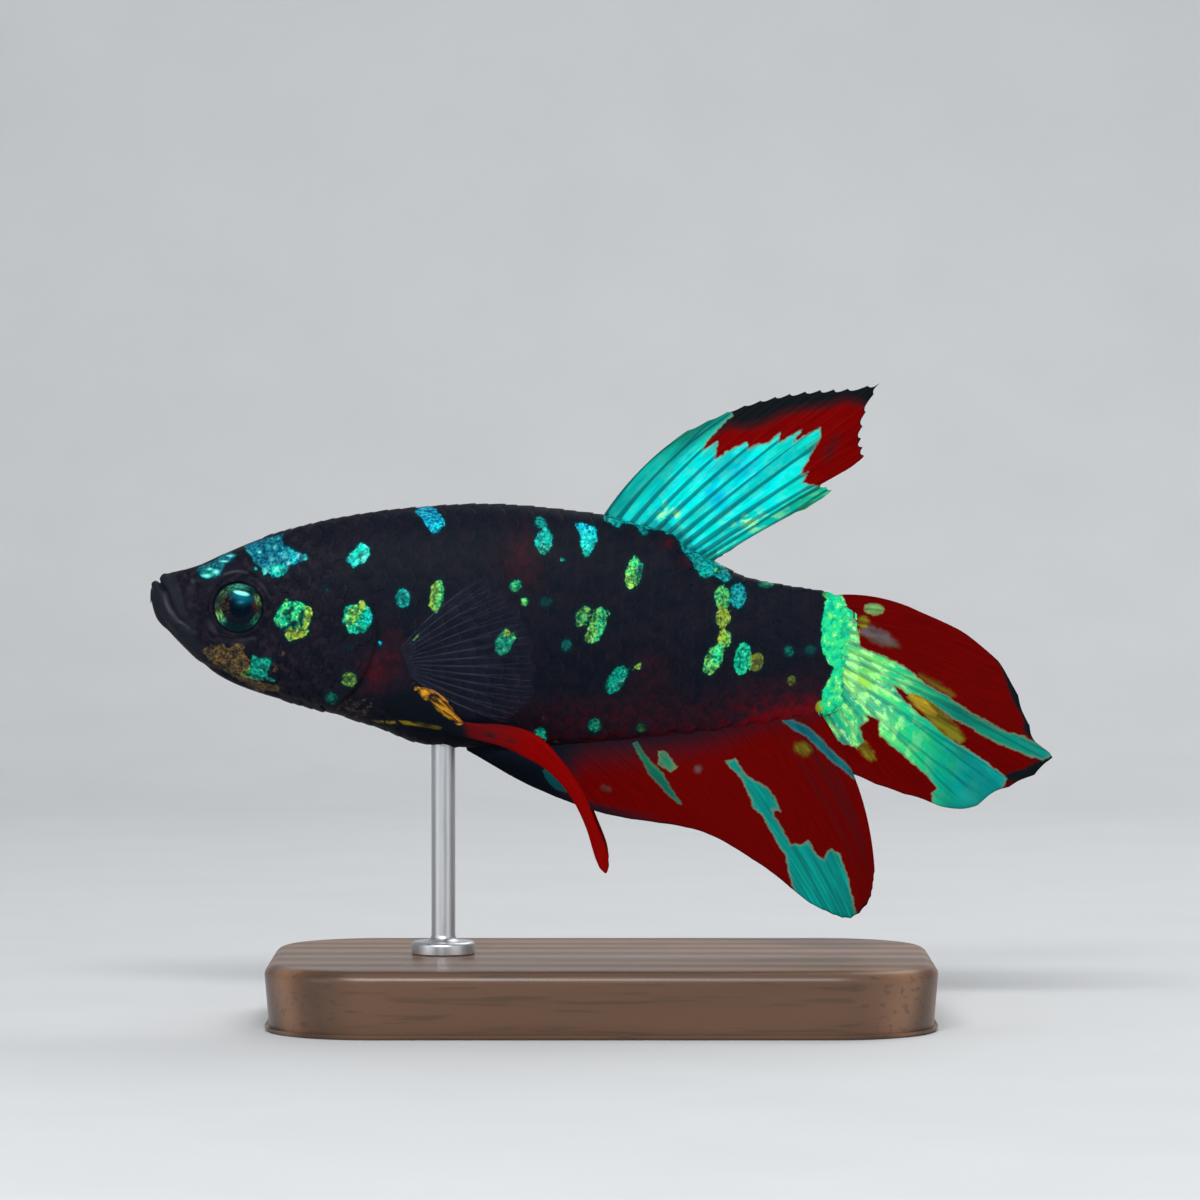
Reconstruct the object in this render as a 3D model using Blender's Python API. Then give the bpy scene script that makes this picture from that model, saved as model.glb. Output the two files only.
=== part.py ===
"""A life-size short-finned betta (Siamese fighting fish), swimming, on a plain display stand.

Lengths in the tables are in millimetres, and MM turns them into the scene's metres.
A place on the fish is (along, high): along runs from the snout to the tail, and high is
above the snout's tip. across is measured from the body's middle plane, and is positive
on the fish's right. The fish faces -X, so its left side faces -Y.
"""

import math

import bmesh
import bpy
import numpy as np
from mathutils import Vector

MM = 0.001
GAP = 0.3                     # clearance between solids that touch on the real fish

# The stand, and where the snout is over it
BASE_LENGTH = 50.0
BASE_DEPTH = 30.0
BASE_THICK = 5.0
BASE_CORNER = 8.0
BASE_CHAMFER = 0.8
ROD_RADIUS = 0.9
ROD_FOOT_RADIUS = 2.4
ROD_FOOT_THICK = 1.0
ROD_ALONG = 22.0              # where the rod meets the belly
ROD_BITE = 2.0                # how far the rod goes into the belly and the base
SNOUT_HIGH = 32.45
SNOUT_AHEAD = 33.9            # half of the fish's whole length

# The body's outline and thickness: (along, value)
BODY_LENGTH = 51.6            # snout to the end of the tail stem
BACK = ((0.0, 0.1), (0.35, 0.75), (1.3, 1.35), (3.3, 1.6), (5.2, 2.45), (8.6, 4.0),
        (13.9, 5.5), (19.6, 6.3), (24.8, 6.6), (33.9, 5.8), (38.5, 4.35), (42.5, 2.2),
        (45.0, 1.0), (48.0, 0.4), (52.0, -0.35))
BELLY = ((0.0, -0.1), (0.12, -1.2), (0.5, -2.3), (1.35, -3.2), (4.2, -5.9), (6.6, -7.25),
         (11.4, -8.8), (17.2, -10.5), (20.1, -11.6), (23.0, -11.95), (31.0, -11.7),
         (41.0, -11.0), (47.0, -10.2), (52.0, -9.4))
HALF_WIDTH = ((0.0, 0.55), (0.5, 1.2), (1.5, 1.65), (3.3, 2.15), (6.7, 2.85), (11.0, 3.6),
              (16.0, 4.1), (22.0, 4.2), (30.0, 3.7), (38.0, 2.8), (45.0, 1.8), (52.0, 0.8))
WIDEST_AT = ((0.0, -0.6), (3.0, -1.5), (6.7, -1.7), (11.0, -2.6), (20.0, -3.2),
             (30.0, -3.2), (42.0, -4.2), (52.0, -4.9))
BACK_FULLNESS = ((0.0, 2.2), (8.0, 2.35), (20.0, 2.1), (52.0, 1.9))
BELLY_FULLNESS = ((0.0, 2.2), (20.0, 2.1), (27.0, 1.6), (52.0, 1.55))
TAIL_SWING = 1.5              # how far the end of the tail stem is bent to the right
SWING_FROM = 20.0             # where that bend starts
RING_POINTS = 28
STATIONS = 40

# Where the body is parted: outlines seen from the side, (along, high)
GILL_EDGE = ((12.3, 9.0), (12.9, 4.6), (14.5, 1.6), (16.5, -0.7), (17.2, -2.8),
             (16.7, -5.2), (15.5, -7.3), (13.8, -9.3), (12.6, -13.0))
MOUTH_EDGE = ((0.7, 9.0), (0.8, 0.5), (1.3, -0.6), (1.95, -2.0), (2.8, -2.7),
              (3.6, -4.1), (4.2, -7.5))
GILL_COVER_FRONT = ((13.6, 1.4), (12.1, 0.9), (11.0, -0.6), (10.6, -2.9), (10.5, -5.2),
                    (11.0, -7.1), (12.3, -8.2))
GILL_COVER_THICK = 1.2
GILL_COVER_INNER = 1.4        # how near it comes to the middle plane under the throat
TAIL_STEM_FROM = 43.0

# Where the blanks of the parts start and end, before they are cut to those outlines
JAW_BLANK_END = 6.0
COVER_CORE_START = 7.0
COVER_BLANK_START = 8.0
TRUNK_BLANK_START = 10.0
HEAD_BLANK_END = 20.0
CUTTER_REACH = 80.0
CUTTER_SIDE = 9.0

# The eye
EYE_ALONG, EYE_HIGH = 6.75, -1.24
EYE_RADIUS = 1.87
EYE_DOME = 0.6                # how far the cornea stands out from the eye's rim
EYE_BOWL = 1.3
EYE_RIM_SUNK = 0.12           # the rim's depth under the side of the head
EYE_POINTS, EYE_RINGS = 20, 7

# Fins: base line and ray tips, (along, high), from the first ray to the last
FIN_THICK = 0.52
FIN_ROOT_THICK = 0.9
DORSAL_BASE = ((33.8, 5.0), (36.7, 4.0), (39.0, 3.1), (40.7, 2.0), (41.8, 1.3))
DORSAL_TIPS = ((40.4, 12.0), (43.4, 13.4), (45.9, 14.25), (48.1, 14.75), (50.4, 15.05),
               (52.5, 15.15), (54.9, 15.55), (53.85, 13.4), (53.5, 11.4), (53.75, 10.1),
               (50.6, 8.0), (51.3, 7.5))
ANAL_BASE = ((23.6, -10.9), (31.0, -10.5), (41.0, -9.9), (50.0, -8.7))
ANAL_TIPS = ((24.3, -12.3), (29.0, -15.0), (34.6, -17.0), (41.0, -18.1), (46.0, -20.8),
             (50.2, -24.0), (52.6, -24.9), (54.3, -23.3), (54.6, -21.4))
TAIL_BASE = ((51.9, -0.75), (52.2, -3.0), (52.3, -5.0), (52.2, -7.0), (51.9, -9.1))
TAIL_TIPS = ((57.4, -1.5), (61.7, -3.5), (64.7, -6.4), (66.0, -9.4), (66.9, -11.6),
             (68.1, -12.7), (66.6, -14.2), (64.2, -15.3), (61.2, -16.8), (57.7, -15.8),
             (55.2, -15.0), (53.5, -14.1))
PECTORAL_BASE = ((18.9, -4.3), (19.3, -5.2), (19.6, -6.2))
PECTORAL_TIPS = ((25.5, 1.4), (27.6, -0.8), (28.9, -4.0), (29.1, -7.1), (27.0, -9.8))
PECTORAL_FLARE = 1.7          # how far its margin stands off the flank
PELVIC_MIDLINE = ((17.6, -8.4), (20.6, -8.95), (23.6, -10.35), (26.4, -10.75), (28.5, -11.5),
                  (30.5, -13.1), (32.1, -15.2), (33.1, -17.4), (33.8, -19.4), (34.25, -21.2))
PELVIC_WIDTH = (2.4, 3.5, 1.25, 1.6, 1.85, 1.4, 1.1, 1.05, 1.2, 0.7)
PELVIC_ACROSS = (2.6, 3.4, 3.8, 4.3)

SKIN = (0.017, 0.016, 0.028)
CHEEK = (0.06, 0.045, 0.03)
TURQUOISE = (0.0, 0.55, 0.5)
RED = (0.32, 0.0, 0.004)
MIST = (0.05, 0.055, 0.1)
IRIS = (0.03, 0.16, 0.13)
WALNUT = (0.09, 0.04, 0.02)
STEEL = (0.6, 0.6, 0.62)


def smooth_through(knots, at):
    """A smooth curve through (x, value) knots that never overshoots them (Fritsch-Carlson)."""
    x, y = np.array(knots, float).T
    step, rise = np.diff(x), np.diff(y)
    secant = rise / step
    slope = np.zeros_like(x)
    slope[0], slope[-1] = secant[0], secant[-1]
    for i in range(1, len(x) - 1):
        if secant[i - 1] * secant[i] > 0:
            slope[i] = 2 / (1 / secant[i - 1] + 1 / secant[i])
    at = np.clip(np.asarray(at, float), x[0], x[-1])
    i = np.clip(np.searchsorted(x, at) - 1, 0, len(x) - 2)
    t = (at - x[i]) / step[i]
    return (y[i] * (1 + 2 * t) * (1 - t) ** 2 + y[i + 1] * t * t * (3 - 2 * t)
            + step[i] * t * (1 - t) * (slope[i] * (1 - t) - slope[i + 1] * t))


def along_points(points, t):
    """The point at share t of a smooth line through points, which are spread evenly over 0 to 1."""
    shares = np.linspace(0, 1, len(points))
    return np.array([smooth_through(list(zip(shares, axis)), t) for axis in np.array(points).T])


def swing(along):
    """The sideways bend of the body's middle plane, which goes on through the tail fin."""
    past = max(0.0, along - SWING_FROM) / (BODY_LENGTH - SWING_FROM)
    return TAIL_SWING * past ** 2


def place(along, high, across=0.0):
    return Vector((along - SNOUT_AHEAD, across + swing(along), high + SNOUT_HIGH)) * MM


def half_width_at(along, high):
    """The body's half width at a place on its side, or 0 above the back and under the belly."""
    middle = float(smooth_through(WIDEST_AT, along))
    upper = high > middle
    edge = float(smooth_through(BACK if upper else BELLY, along))
    power = float(smooth_through(BACK_FULLNESS if upper else BELLY_FULLNESS, along))
    share = min(1.0, abs((high - middle) / (edge - middle)))
    return float(smooth_through(HALF_WIDTH, along)) * (1 - share ** power) ** (1 / power)


def body_ring(along, grow):
    """One cross-section of the body, made larger by grow."""
    middle = float(smooth_through(WIDEST_AT, along))
    width = float(smooth_through(HALF_WIDTH, along)) + grow
    ring = []
    for k in range(RING_POINTS):
        angle = 2 * math.pi * (k + 0.5) / RING_POINTS
        upper = math.sin(angle) > 0
        edge = float(smooth_through(BACK if upper else BELLY, along))
        reach = abs(edge - middle) + grow
        power = 2 / float(smooth_through(BACK_FULLNESS if upper else BELLY_FULLNESS, along))
        across = math.copysign(abs(math.cos(angle)) ** power, math.cos(angle)) * width
        rise = math.copysign(abs(math.sin(angle)) ** power, math.sin(angle)) * reach
        ring.append(place(along, middle + rise, across))
    return ring


def mesh_object(name, points, faces):
    mesh = bpy.data.meshes.new(name)
    mesh.from_pydata(points, [], faces)
    work = bmesh.new()
    work.from_mesh(mesh)
    bmesh.ops.remove_doubles(work, verts=work.verts, dist=1e-6)
    bmesh.ops.recalc_face_normals(work, faces=work.faces)
    work.to_mesh(mesh)
    work.free()
    made = bpy.data.objects.new(name, mesh)
    bpy.context.scene.collection.objects.link(made)
    return made


def loft(name, rings):
    """A closed body through rings of equal counts, capped at both ends."""
    count = len(rings[0])
    points = [p for ring in rings for p in ring]
    faces = [tuple(reversed(range(count))), tuple(range(len(points) - count, len(points)))]
    for r in range(len(rings) - 1):
        for k in range(count):
            after = (k + 1) % count
            faces.append((r * count + k, r * count + after,
                          (r + 1) * count + after, (r + 1) * count + k))
    return mesh_object(name, points, faces)


def body_between(name, start, end, grow=0.0):
    """The body from start to end, with its cross-sections closest together at the snout."""
    shares = np.linspace(0, 1, STATIONS) ** 1.5
    inner = [s for s in shares * BODY_LENGTH if start + 0.2 < s < end - 0.2]
    return loft(name, [body_ring(s, grow) for s in (start, *inner, end)])


def side_prism(name, outline, near=-CUTTER_SIDE, far=CUTTER_SIDE):
    """A block with the given side outline, running straight across the body from near to far."""
    count = len(outline)
    points = [Vector((a - SNOUT_AHEAD, y, h + SNOUT_HIGH)) * MM
              for y in (near, far) for a, h in outline]
    faces = [tuple(range(count)), tuple(reversed(range(count, 2 * count)))]
    for k in range(count):
        after = (k + 1) % count
        faces.append((after, k, count + k, count + after))
    return mesh_object(name, points, faces)


def smooth_edge(points, count):
    return [tuple(along_points(points, t)) for t in np.linspace(0, 1, count)]


def shifted(outline, by):
    return [(along + by, high) for along, high in outline]


def closed_at(edge, along):
    """An outline from an edge and the two corners level with its ends, at a given along."""
    return edge + [(along, edge[-1][1]), (along, edge[0][1])]


def grown(outline, by):
    """An outline pushed out from its centre by a length."""
    centre = np.mean(outline, axis=0)
    pushed = []
    for point in np.array(outline):
        out = point - centre
        pushed.append(tuple(point + out / np.linalg.norm(out) * by))
    return pushed


def as_cutter(thing):
    thing.hide_render = True
    thing.display_type = "WIRE"
    return thing


def cut(thing, cutter, operation="DIFFERENCE"):
    """Cuts with a Boolean and keeps the result as the object's mesh."""
    step = thing.modifiers.new(operation, "BOOLEAN")
    step.object = as_cutter(cutter)
    step.operation = operation
    step.solver = "EXACT"
    bpy.context.view_layer.update()
    graph = bpy.context.evaluated_depsgraph_get()
    result = bpy.data.meshes.new_from_object(thing.evaluated_get(graph))
    thing.modifiers.clear()
    thing.data = result
    return thing


def eye_solid(name, side, grow=0.0):
    """A flat-fronted eyeball: a low dome outside its rim and a deeper bowl inside."""
    rim = half_width_at(EYE_ALONG, EYE_HIGH) - EYE_RIM_SUNK
    rings = []
    for r in range(EYE_RINGS + 1):
        tilt = math.pi * (r / EYE_RINGS - 0.5)
        depth = (EYE_DOME if tilt > 0 else EYE_BOWL) + grow
        radius = max((EYE_RADIUS + grow) * math.cos(tilt), 1e-3)
        ring = []
        for k in range(EYE_POINTS):
            turn = 2 * math.pi * k / EYE_POINTS
            ring.append(place(EYE_ALONG + radius * math.cos(turn),
                              EYE_HIGH + radius * math.sin(turn),
                              side * (rim + depth * math.sin(tilt))))
        rings.append(ring)
    return loft(name, rings)


def fin_from_rays(name, base, tips, rays, rows, bow, notch, across, roots=None):
    """A thin fin. Each ray runs from the base line to its tip, bowed to one side by bow, and
    the margin is drawn in by notch between the rays. across(t, v) is its distance from the
    middle plane at ray share t and length share v, and roots is how thick it starts."""
    columns = 2 * rays - 1
    middle = np.zeros((columns, rows + 1, 3))
    for c in range(columns):
        t = c / (columns - 1)
        root, tip = along_points(base, t), along_points(tips, t)
        if c % 2:
            tip = root + (tip - root) * (1 - notch)
        ray = tip - root
        aside = np.array((-ray[1], ray[0])) / np.linalg.norm(ray)
        for r in range(rows + 1):
            v = r / rows
            along, high = root + ray * v + aside * bow(t) * 4 * v * (1 - v)
            middle[c, r] = place(along, high, across(t, v, along, high))
    down, over = np.gradient(middle, axis=1), np.gradient(middle, axis=0)
    normal = np.cross(over, down)
    normal /= np.linalg.norm(normal, axis=2, keepdims=True)
    v = np.linspace(0, 1, rows + 1)[None, :, None]
    root_thick = roots or FIN_ROOT_THICK
    half = 0.5 * MM * (root_thick + (FIN_THICK - root_thick) * np.minimum(1, v * 2))
    front, back = middle + normal * half, middle - normal * half
    points = [Vector(p) for p in np.concatenate([front.reshape(-1, 3), back.reshape(-1, 3)])]
    size = columns * (rows + 1)
    faces = []

    def spot(c, r, side):
        return side * size + c * (rows + 1) + r

    for c in range(columns - 1):
        for r in range(rows):
            corners = ((c, r), (c + 1, r), (c + 1, r + 1), (c, r + 1))
            faces.append([spot(*p, 0) for p in corners])
            faces.append([spot(*p, 1) for p in reversed(corners)])
        for r in (0, rows):
            faces.append((spot(c, r, 0), spot(c, r, 1), spot(c + 1, r, 1), spot(c + 1, r, 0)))
    for r in range(rows):
        for c in (0, columns - 1):
            faces.append((spot(c, r, 0), spot(c, r + 1, 0), spot(c, r + 1, 1), spot(c, r, 1)))
    return mesh_object(name, points, faces)


def dorsal_fin():
    return fin_from_rays(
        "dorsal_fin", DORSAL_BASE, DORSAL_TIPS, rays=12, rows=8,
        bow=lambda t: 0.5 - 0.5 * t, notch=0.025,
        across=lambda t, v, along, high: 0.35 * v * math.sin(6 * t + 2 * v))


def anal_fin():
    return fin_from_rays(
        "anal_fin", ANAL_BASE, ANAL_TIPS, rays=16, rows=7,
        bow=lambda t: 0.1 + 0.9 * t * t, notch=0.015,
        across=lambda t, v, along, high: 0.45 * v * math.sin(7 * t + 1.0))


def tail_fin():
    return fin_from_rays(
        "caudal_fin", TAIL_BASE, TAIL_TIPS, rays=14, rows=8,
        bow=lambda t: 0.5 - 0.7 * t, notch=0.02,
        across=lambda t, v, along, high: 0.5 * v * math.sin(8 * t + 1.5 * v), roots=1.1)


def pectoral_fin(name, side):
    def across(t, v, along, high):
        clear = GAP + FIN_THICK / 2 + 0.1
        return side * (half_width_at(along, high) + clear * min(1, 6 * v) + PECTORAL_FLARE * v ** 1.5)

    return fin_from_rays(name, PECTORAL_BASE, PECTORAL_TIPS, rays=9, rows=6,
                         bow=lambda t: 0.4 - 0.8 * t, notch=0.02, across=across, roots=0.8)


def pelvic_fin(name, side):
    """A long narrow blade: a broad root laid on the belly's side, then swept back and down."""
    count, edges = 20, 4
    shares = np.linspace(0, 1, count)
    line = np.array([along_points(PELVIC_MIDLINE, t) for t in shares])
    width_knots = list(zip(np.linspace(0, 1, len(PELVIC_WIDTH)), PELVIC_WIDTH))
    across_knots = list(zip(np.linspace(0, 1, len(PELVIC_ACROSS)), PELVIC_ACROSS))
    run = np.gradient(line, axis=0)
    run /= np.linalg.norm(run, axis=1, keepdims=True)
    clear = GAP + FIN_THICK / 2 + 0.1
    rings = []
    for (along, high), (run_along, run_high), t in zip(line, run, shares):
        width = float(smooth_through(width_knots, t))
        spread = float(smooth_through(across_knots, t))
        rim = [(k / edges - 0.5, 1) for k in range(edges + 1)]
        rim += [(share, -1) for share, _ in reversed(rim)]
        ring = []
        for share, face in rim:
            a, h = along - run_high * width * share, high + run_along * width * share
            out = max(spread, half_width_at(a, h) + clear * min(1, 9 * t))
            thick = FIN_THICK * (1 - 0.5 * abs(2 * share) ** 3) + 0.1
            ring.append(place(a, h, side * (out + face * thick / 2)))
        rings.append(ring)
    return loft(name, rings)


def stand_base():
    """A flat plate with round corners, a chamfered top edge and a blind hole for the rod."""
    def outline(inset):
        radius = BASE_CORNER - inset
        ring = []
        for quarter in range(4):
            sign_x, sign_y = ((1, 1), (-1, 1), (-1, -1), (1, -1))[quarter]
            for k in range(7):
                angle = math.pi / 2 * (quarter + k / 6)
                ring.append((sign_x * (BASE_LENGTH / 2 - BASE_CORNER) + radius * math.cos(angle),
                             sign_y * (BASE_DEPTH / 2 - BASE_CORNER) + radius * math.sin(angle)))
        return ring

    levels = ((0.0, 0.0), (BASE_THICK - BASE_CHAMFER, 0.0), (BASE_THICK, BASE_CHAMFER))
    plate = loft("stand_base", [[Vector((x, y, z)) * MM for x, y in outline(inset)]
                                for z, inset in levels])
    return cut(plate, rod_hole("rod_foot_hole", BASE_THICK - ROD_BITE, BASE_THICK + ROD_BITE))


def turned(name, profile):
    """A round piece on the rod's axis: profile is (radius, height above the floor)."""
    centre_x = ROD_ALONG - SNOUT_AHEAD
    centre_y = swing(ROD_ALONG)
    rings = [[Vector((centre_x + radius * math.cos(2 * math.pi * k / 20),
                      centre_y + radius * math.sin(2 * math.pi * k / 20), z)) * MM
              for k in range(20)] for radius, z in profile]
    return loft(name, rings)


def rod_hole(name, low, top):
    return turned(name, [(ROD_RADIUS + GAP, z) for z in (low, top)])


def rod_top():
    return float(smooth_through(BELLY, ROD_ALONG)) + SNOUT_HIGH + ROD_BITE - GAP


def stand_rod():
    """The rod, from its hole in the base through a round foot to its socket in the belly."""
    foot_low = BASE_THICK + GAP
    foot_top = foot_low + ROD_FOOT_THICK
    bevel = 0.4 * ROD_FOOT_THICK
    return turned("stand_rod", (
        (ROD_RADIUS, BASE_THICK - ROD_BITE + GAP), (ROD_RADIUS, foot_low),
        (ROD_FOOT_RADIUS, foot_low), (ROD_FOOT_RADIUS, foot_top - bevel),
        (ROD_FOOT_RADIUS - bevel, foot_top), (ROD_RADIUS, foot_top + bevel),
        (ROD_RADIUS, rod_top())))


def finish(thing, colour, roughness, metallic=0.0):
    material = bpy.data.materials.new(thing.name + "_finish")
    material.use_nodes = True
    shader = material.node_tree.nodes["Principled BSDF"]
    shader.inputs["Base Color"].default_value = (*colour, 1)
    shader.inputs["Roughness"].default_value = roughness
    shader.inputs["Metallic"].default_value = metallic
    thing.data.materials.clear()
    thing.data.materials.append(material)
    thing.data.shade_smooth()
    thing.data.set_sharp_from_angle(angle=math.radians(40))


def main():
    for thing in list(bpy.data.objects):
        bpy.data.objects.remove(thing)

    # The whole body, parted at the mouth, behind the gill covers and at the tail stem
    gill_edge = smooth_edge(GILL_EDGE, 15)
    head_end = side_prism("head_end", closed_at(gill_edge, CUTTER_REACH))
    trunk_start = side_prism("trunk_start", closed_at(shifted(gill_edge, GAP), -CUTTER_REACH))
    head = cut(body_between("head", 0.0, HEAD_BLANK_END), head_end)
    trunk = cut(body_between("trunk", TRUNK_BLANK_START, TAIL_STEM_FROM - GAP), trunk_start)
    tail_stem = body_between("tail_stem", TAIL_STEM_FROM, BODY_LENGTH)

    mouth_edge = smooth_edge(MOUTH_EDGE, 13)
    jaw_end = side_prism("jaw_end", closed_at(shifted(mouth_edge, -GAP), CUTTER_REACH))
    lower_jaw = cut(body_between("lower_jaw", 0.0, JAW_BLANK_END), jaw_end)
    cut(head, side_prism("jaw_room", closed_at(mouth_edge, -CUTTER_REACH)))

    # Gill covers are plates that follow the sides of the head, let into it by their thickness
    cover_side = closed_at(smooth_edge(GILL_COVER_FRONT, 13), HEAD_BLANK_END)
    cores = [body_between("core", COVER_CORE_START, HEAD_BLANK_END, -GILL_COVER_THICK - extra)
             for extra in (0.0, GAP)]
    covers, eyes = [], []
    for side, hand in ((-1, "left"), (1, "right")):
        cover = body_between("gill_cover_" + hand, COVER_BLANK_START, HEAD_BLANK_END)
        reach = sorted((side * GILL_COVER_INNER, side * CUTTER_SIDE))
        plate = side_prism("cover_plate_" + hand, grown(cover_side, -GAP / 2), *reach)
        cut(cover, plate, "INTERSECT")
        cut(cover, cores[0])
        covers.append(cut(cover, head_end))
        reach = sorted((side * (GILL_COVER_INNER - GAP), side * CUTTER_SIDE))
        room = side_prism("cover_room_" + hand, grown(cover_side, GAP / 2), *reach)
        cut(head, cut(room, cores[1]))
        cut(head, eye_solid("eye_room_" + hand, side, GAP))
        eyes.append(eye_solid("eye_" + hand, side))

    # Fins start inside the body and end a gap away from its skin
    near_skin = body_between("near_skin", 0.0, BODY_LENGTH, GAP)
    dorsal, anal, tail = dorsal_fin(), anal_fin(), tail_fin()
    cut(dorsal, near_skin)
    cut(anal, near_skin)
    paired = {}
    for side, hand in ((-1, "left"), (1, "right")):
        paired["pectoral", hand] = cut(pectoral_fin("pectoral_fin_" + hand, side), near_skin)
        paired["pelvic", hand] = cut(pelvic_fin("pelvic_fin_" + hand, side), near_skin)

    base, rod = stand_base(), stand_rod()
    cut(trunk, rod_hole("rod_socket", rod_top() - ROD_BITE * 2, rod_top() + GAP))

    for thing in (head, lower_jaw, trunk, tail_stem):
        finish(thing, SKIN, 0.45)
    for thing in covers:
        finish(thing, CHEEK, 0.4)
    for thing in eyes:
        finish(thing, IRIS, 0.08)
    finish(dorsal, TURQUOISE, 0.35)
    finish(tail, RED, 0.4)
    finish(anal, RED, 0.4)
    for (kind, _), thing in paired.items():
        finish(thing, MIST if kind == "pectoral" else RED, 0.4)
    finish(base, WALNUT, 0.5)
    finish(rod, STEEL, 0.3, 1.0)


main()
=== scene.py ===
import math

import bmesh
import bpy
import numpy as np
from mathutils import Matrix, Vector


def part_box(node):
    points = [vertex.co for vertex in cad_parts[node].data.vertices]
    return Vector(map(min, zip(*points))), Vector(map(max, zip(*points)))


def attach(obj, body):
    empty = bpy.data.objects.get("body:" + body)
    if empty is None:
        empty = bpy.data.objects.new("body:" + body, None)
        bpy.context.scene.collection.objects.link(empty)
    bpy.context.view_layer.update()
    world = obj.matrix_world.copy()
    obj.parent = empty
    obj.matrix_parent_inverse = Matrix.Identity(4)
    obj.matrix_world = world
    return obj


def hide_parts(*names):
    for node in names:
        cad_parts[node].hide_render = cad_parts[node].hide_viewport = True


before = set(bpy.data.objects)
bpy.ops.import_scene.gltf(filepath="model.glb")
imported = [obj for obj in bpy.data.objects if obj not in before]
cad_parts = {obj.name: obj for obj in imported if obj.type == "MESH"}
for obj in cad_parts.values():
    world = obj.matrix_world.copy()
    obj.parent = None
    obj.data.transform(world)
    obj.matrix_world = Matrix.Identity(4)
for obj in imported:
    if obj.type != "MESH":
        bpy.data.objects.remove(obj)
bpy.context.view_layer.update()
print("frame loaded:", len(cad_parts), "nodes")

mm = 0.001

# The body's sections, each as (along, value)
fishBody = {
    "length": 53.2,
    "back": ((0.0, 0.1), (0.35, 0.75), (0.98, 1.15), (1.7, 1.45), (2.5, 1.62), (3.55, 1.93), (5.45, 2.78),
             (8.6, 4.05), (13.9, 5.5), (19.6, 6.3), (24.8, 6.6), (33.9, 5.8), (37.0, 4.95), (38.9, 4.5),
             (40.4, 3.35), (42.5, 2.2),
             (45.0, 1.0), (48.0, 0.4), (51.0, -0.1), (52.2, -0.7), (53.2, -1.7)),
    "belly": ((0.0, -0.1), (0.12, -1.2), (0.5, -2.3), (1.35, -3.2), (4.2, -5.9), (6.6, -7.25),
              (11.4, -8.8), (17.2, -10.5), (20.1, -11.6), (23.0, -11.95), (31.0, -11.7),
              (41.0, -11.0), (47.0, -10.2), (51.0, -9.5), (52.2, -8.9), (53.2, -7.9)),
    "halfWidth": ((0.0, 0.55), (0.5, 1.2), (1.5, 1.65), (3.3, 2.15), (6.7, 2.85), (11.0, 3.6),
                  (16.0, 4.1), (22.0, 4.2), (30.0, 3.7), (38.0, 2.8), (45.0, 1.8), (49.5, 1.05),
                  (51.6, 0.6), (53.2, 0.12)),
    "widestAt": ((0.0, -0.6), (3.0, -1.5), (6.7, -1.7), (11.0, -2.6), (20.0, -3.2),
                 (30.0, -3.2), (42.0, -4.2), (52.0, -4.9)),
    "backFullness": ((0.0, 2.2), (8.0, 2.35), (20.0, 2.1), (52.0, 1.9)),
    "bellyFullness": ((0.0, 2.2), (20.0, 2.1), (27.0, 1.6), (33.0, 1.42), (52.0, 1.35)),
    "swing": 1.5,            # how far the tail's end is bent to the right
    "swingFrom": 20.0,
    "swingLength": 31.6,
    "rodAlong": 22.0,        # where the stand's rod meets the belly
    "rodInBelly": 1.7,       # how far the rod's top is inside it
}


def smoothThrough(knots, at):
    # a smooth curve through (x, value) knots that never overshoots them
    x, y = np.array(knots, float).T
    step = np.diff(x)
    rise = np.diff(y) / step
    slope = np.concatenate([rise[:1], np.zeros(len(x) - 2), rise[-1:]])
    for i in range(1, len(x) - 1):
        if rise[i - 1] * rise[i] > 0:
            slope[i] = 2 / (1 / rise[i - 1] + 1 / rise[i])
    at = np.clip(np.asarray(at, float), x[0], x[-1])
    i = np.clip(np.searchsorted(x, at) - 1, 0, len(x) - 2)
    t = (at - x[i]) / step[i]
    return (y[i] * (1 + 2 * t) * (1 - t) ** 2 + y[i + 1] * t * t * (3 - 2 * t)
            + step[i] * t * (1 - t) * (slope[i] * (1 - t) - slope[i + 1] * t))


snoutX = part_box("lower_jaw")[0].x / mm
snoutZ = (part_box("stand_rod")[1].z / mm - fishBody["rodInBelly"]
          - float(smoothThrough(fishBody["belly"], fishBody["rodAlong"])))


def lineThrough(points, t):
    # the places at shares t of a smooth line, whose points are spread evenly over 0 to 1
    shares = np.linspace(0, 1, len(points))
    return np.stack([smoothThrough(list(zip(shares, axis)), t) for axis in np.array(points).T], -1)


def valueThrough(values, t):
    # the value at shares t of a smooth line through values, which are spread evenly over 0 to 1
    return smoothThrough(list(zip(np.linspace(0, 1, len(values)), values)), t)


def softStep(value, low, high):
    t = np.clip((value - low) / (high - low), 0, 1)
    return t * t * (3 - 2 * t)


def bump(distance, width):
    return np.exp(-(distance / width) ** 2)


def swingAt(along):
    return fishBody["swing"] * (np.maximum(0, along - fishBody["swingFrom"]) / fishBody["swingLength"]) ** 2


def inWorld(along, high, across):
    return np.stack([along + snoutX, across + swingAt(along), high + snoutZ], -1) * mm


def edgeAt(along, upper):
    # the height of the back where upper, else of the belly, and how full the section is there
    edge = np.where(upper, smoothThrough(fishBody["back"], along), smoothThrough(fishBody["belly"], along))
    fullness = np.where(upper, smoothThrough(fishBody["backFullness"], along),
                        smoothThrough(fishBody["bellyFullness"], along))
    return edge, fullness


def halfWidthAt(along, high):
    # the body's half width at a place on its side, 0 past the back and the belly
    middle = smoothThrough(fishBody["widestAt"], along)
    edge, power = edgeAt(along, high > middle)
    share = np.minimum(1, np.abs((high - middle) / (edge - middle)))
    return smoothThrough(fishBody["halfWidth"], along) * (1 - share ** power) ** (1 / power)


# Meshes

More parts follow.
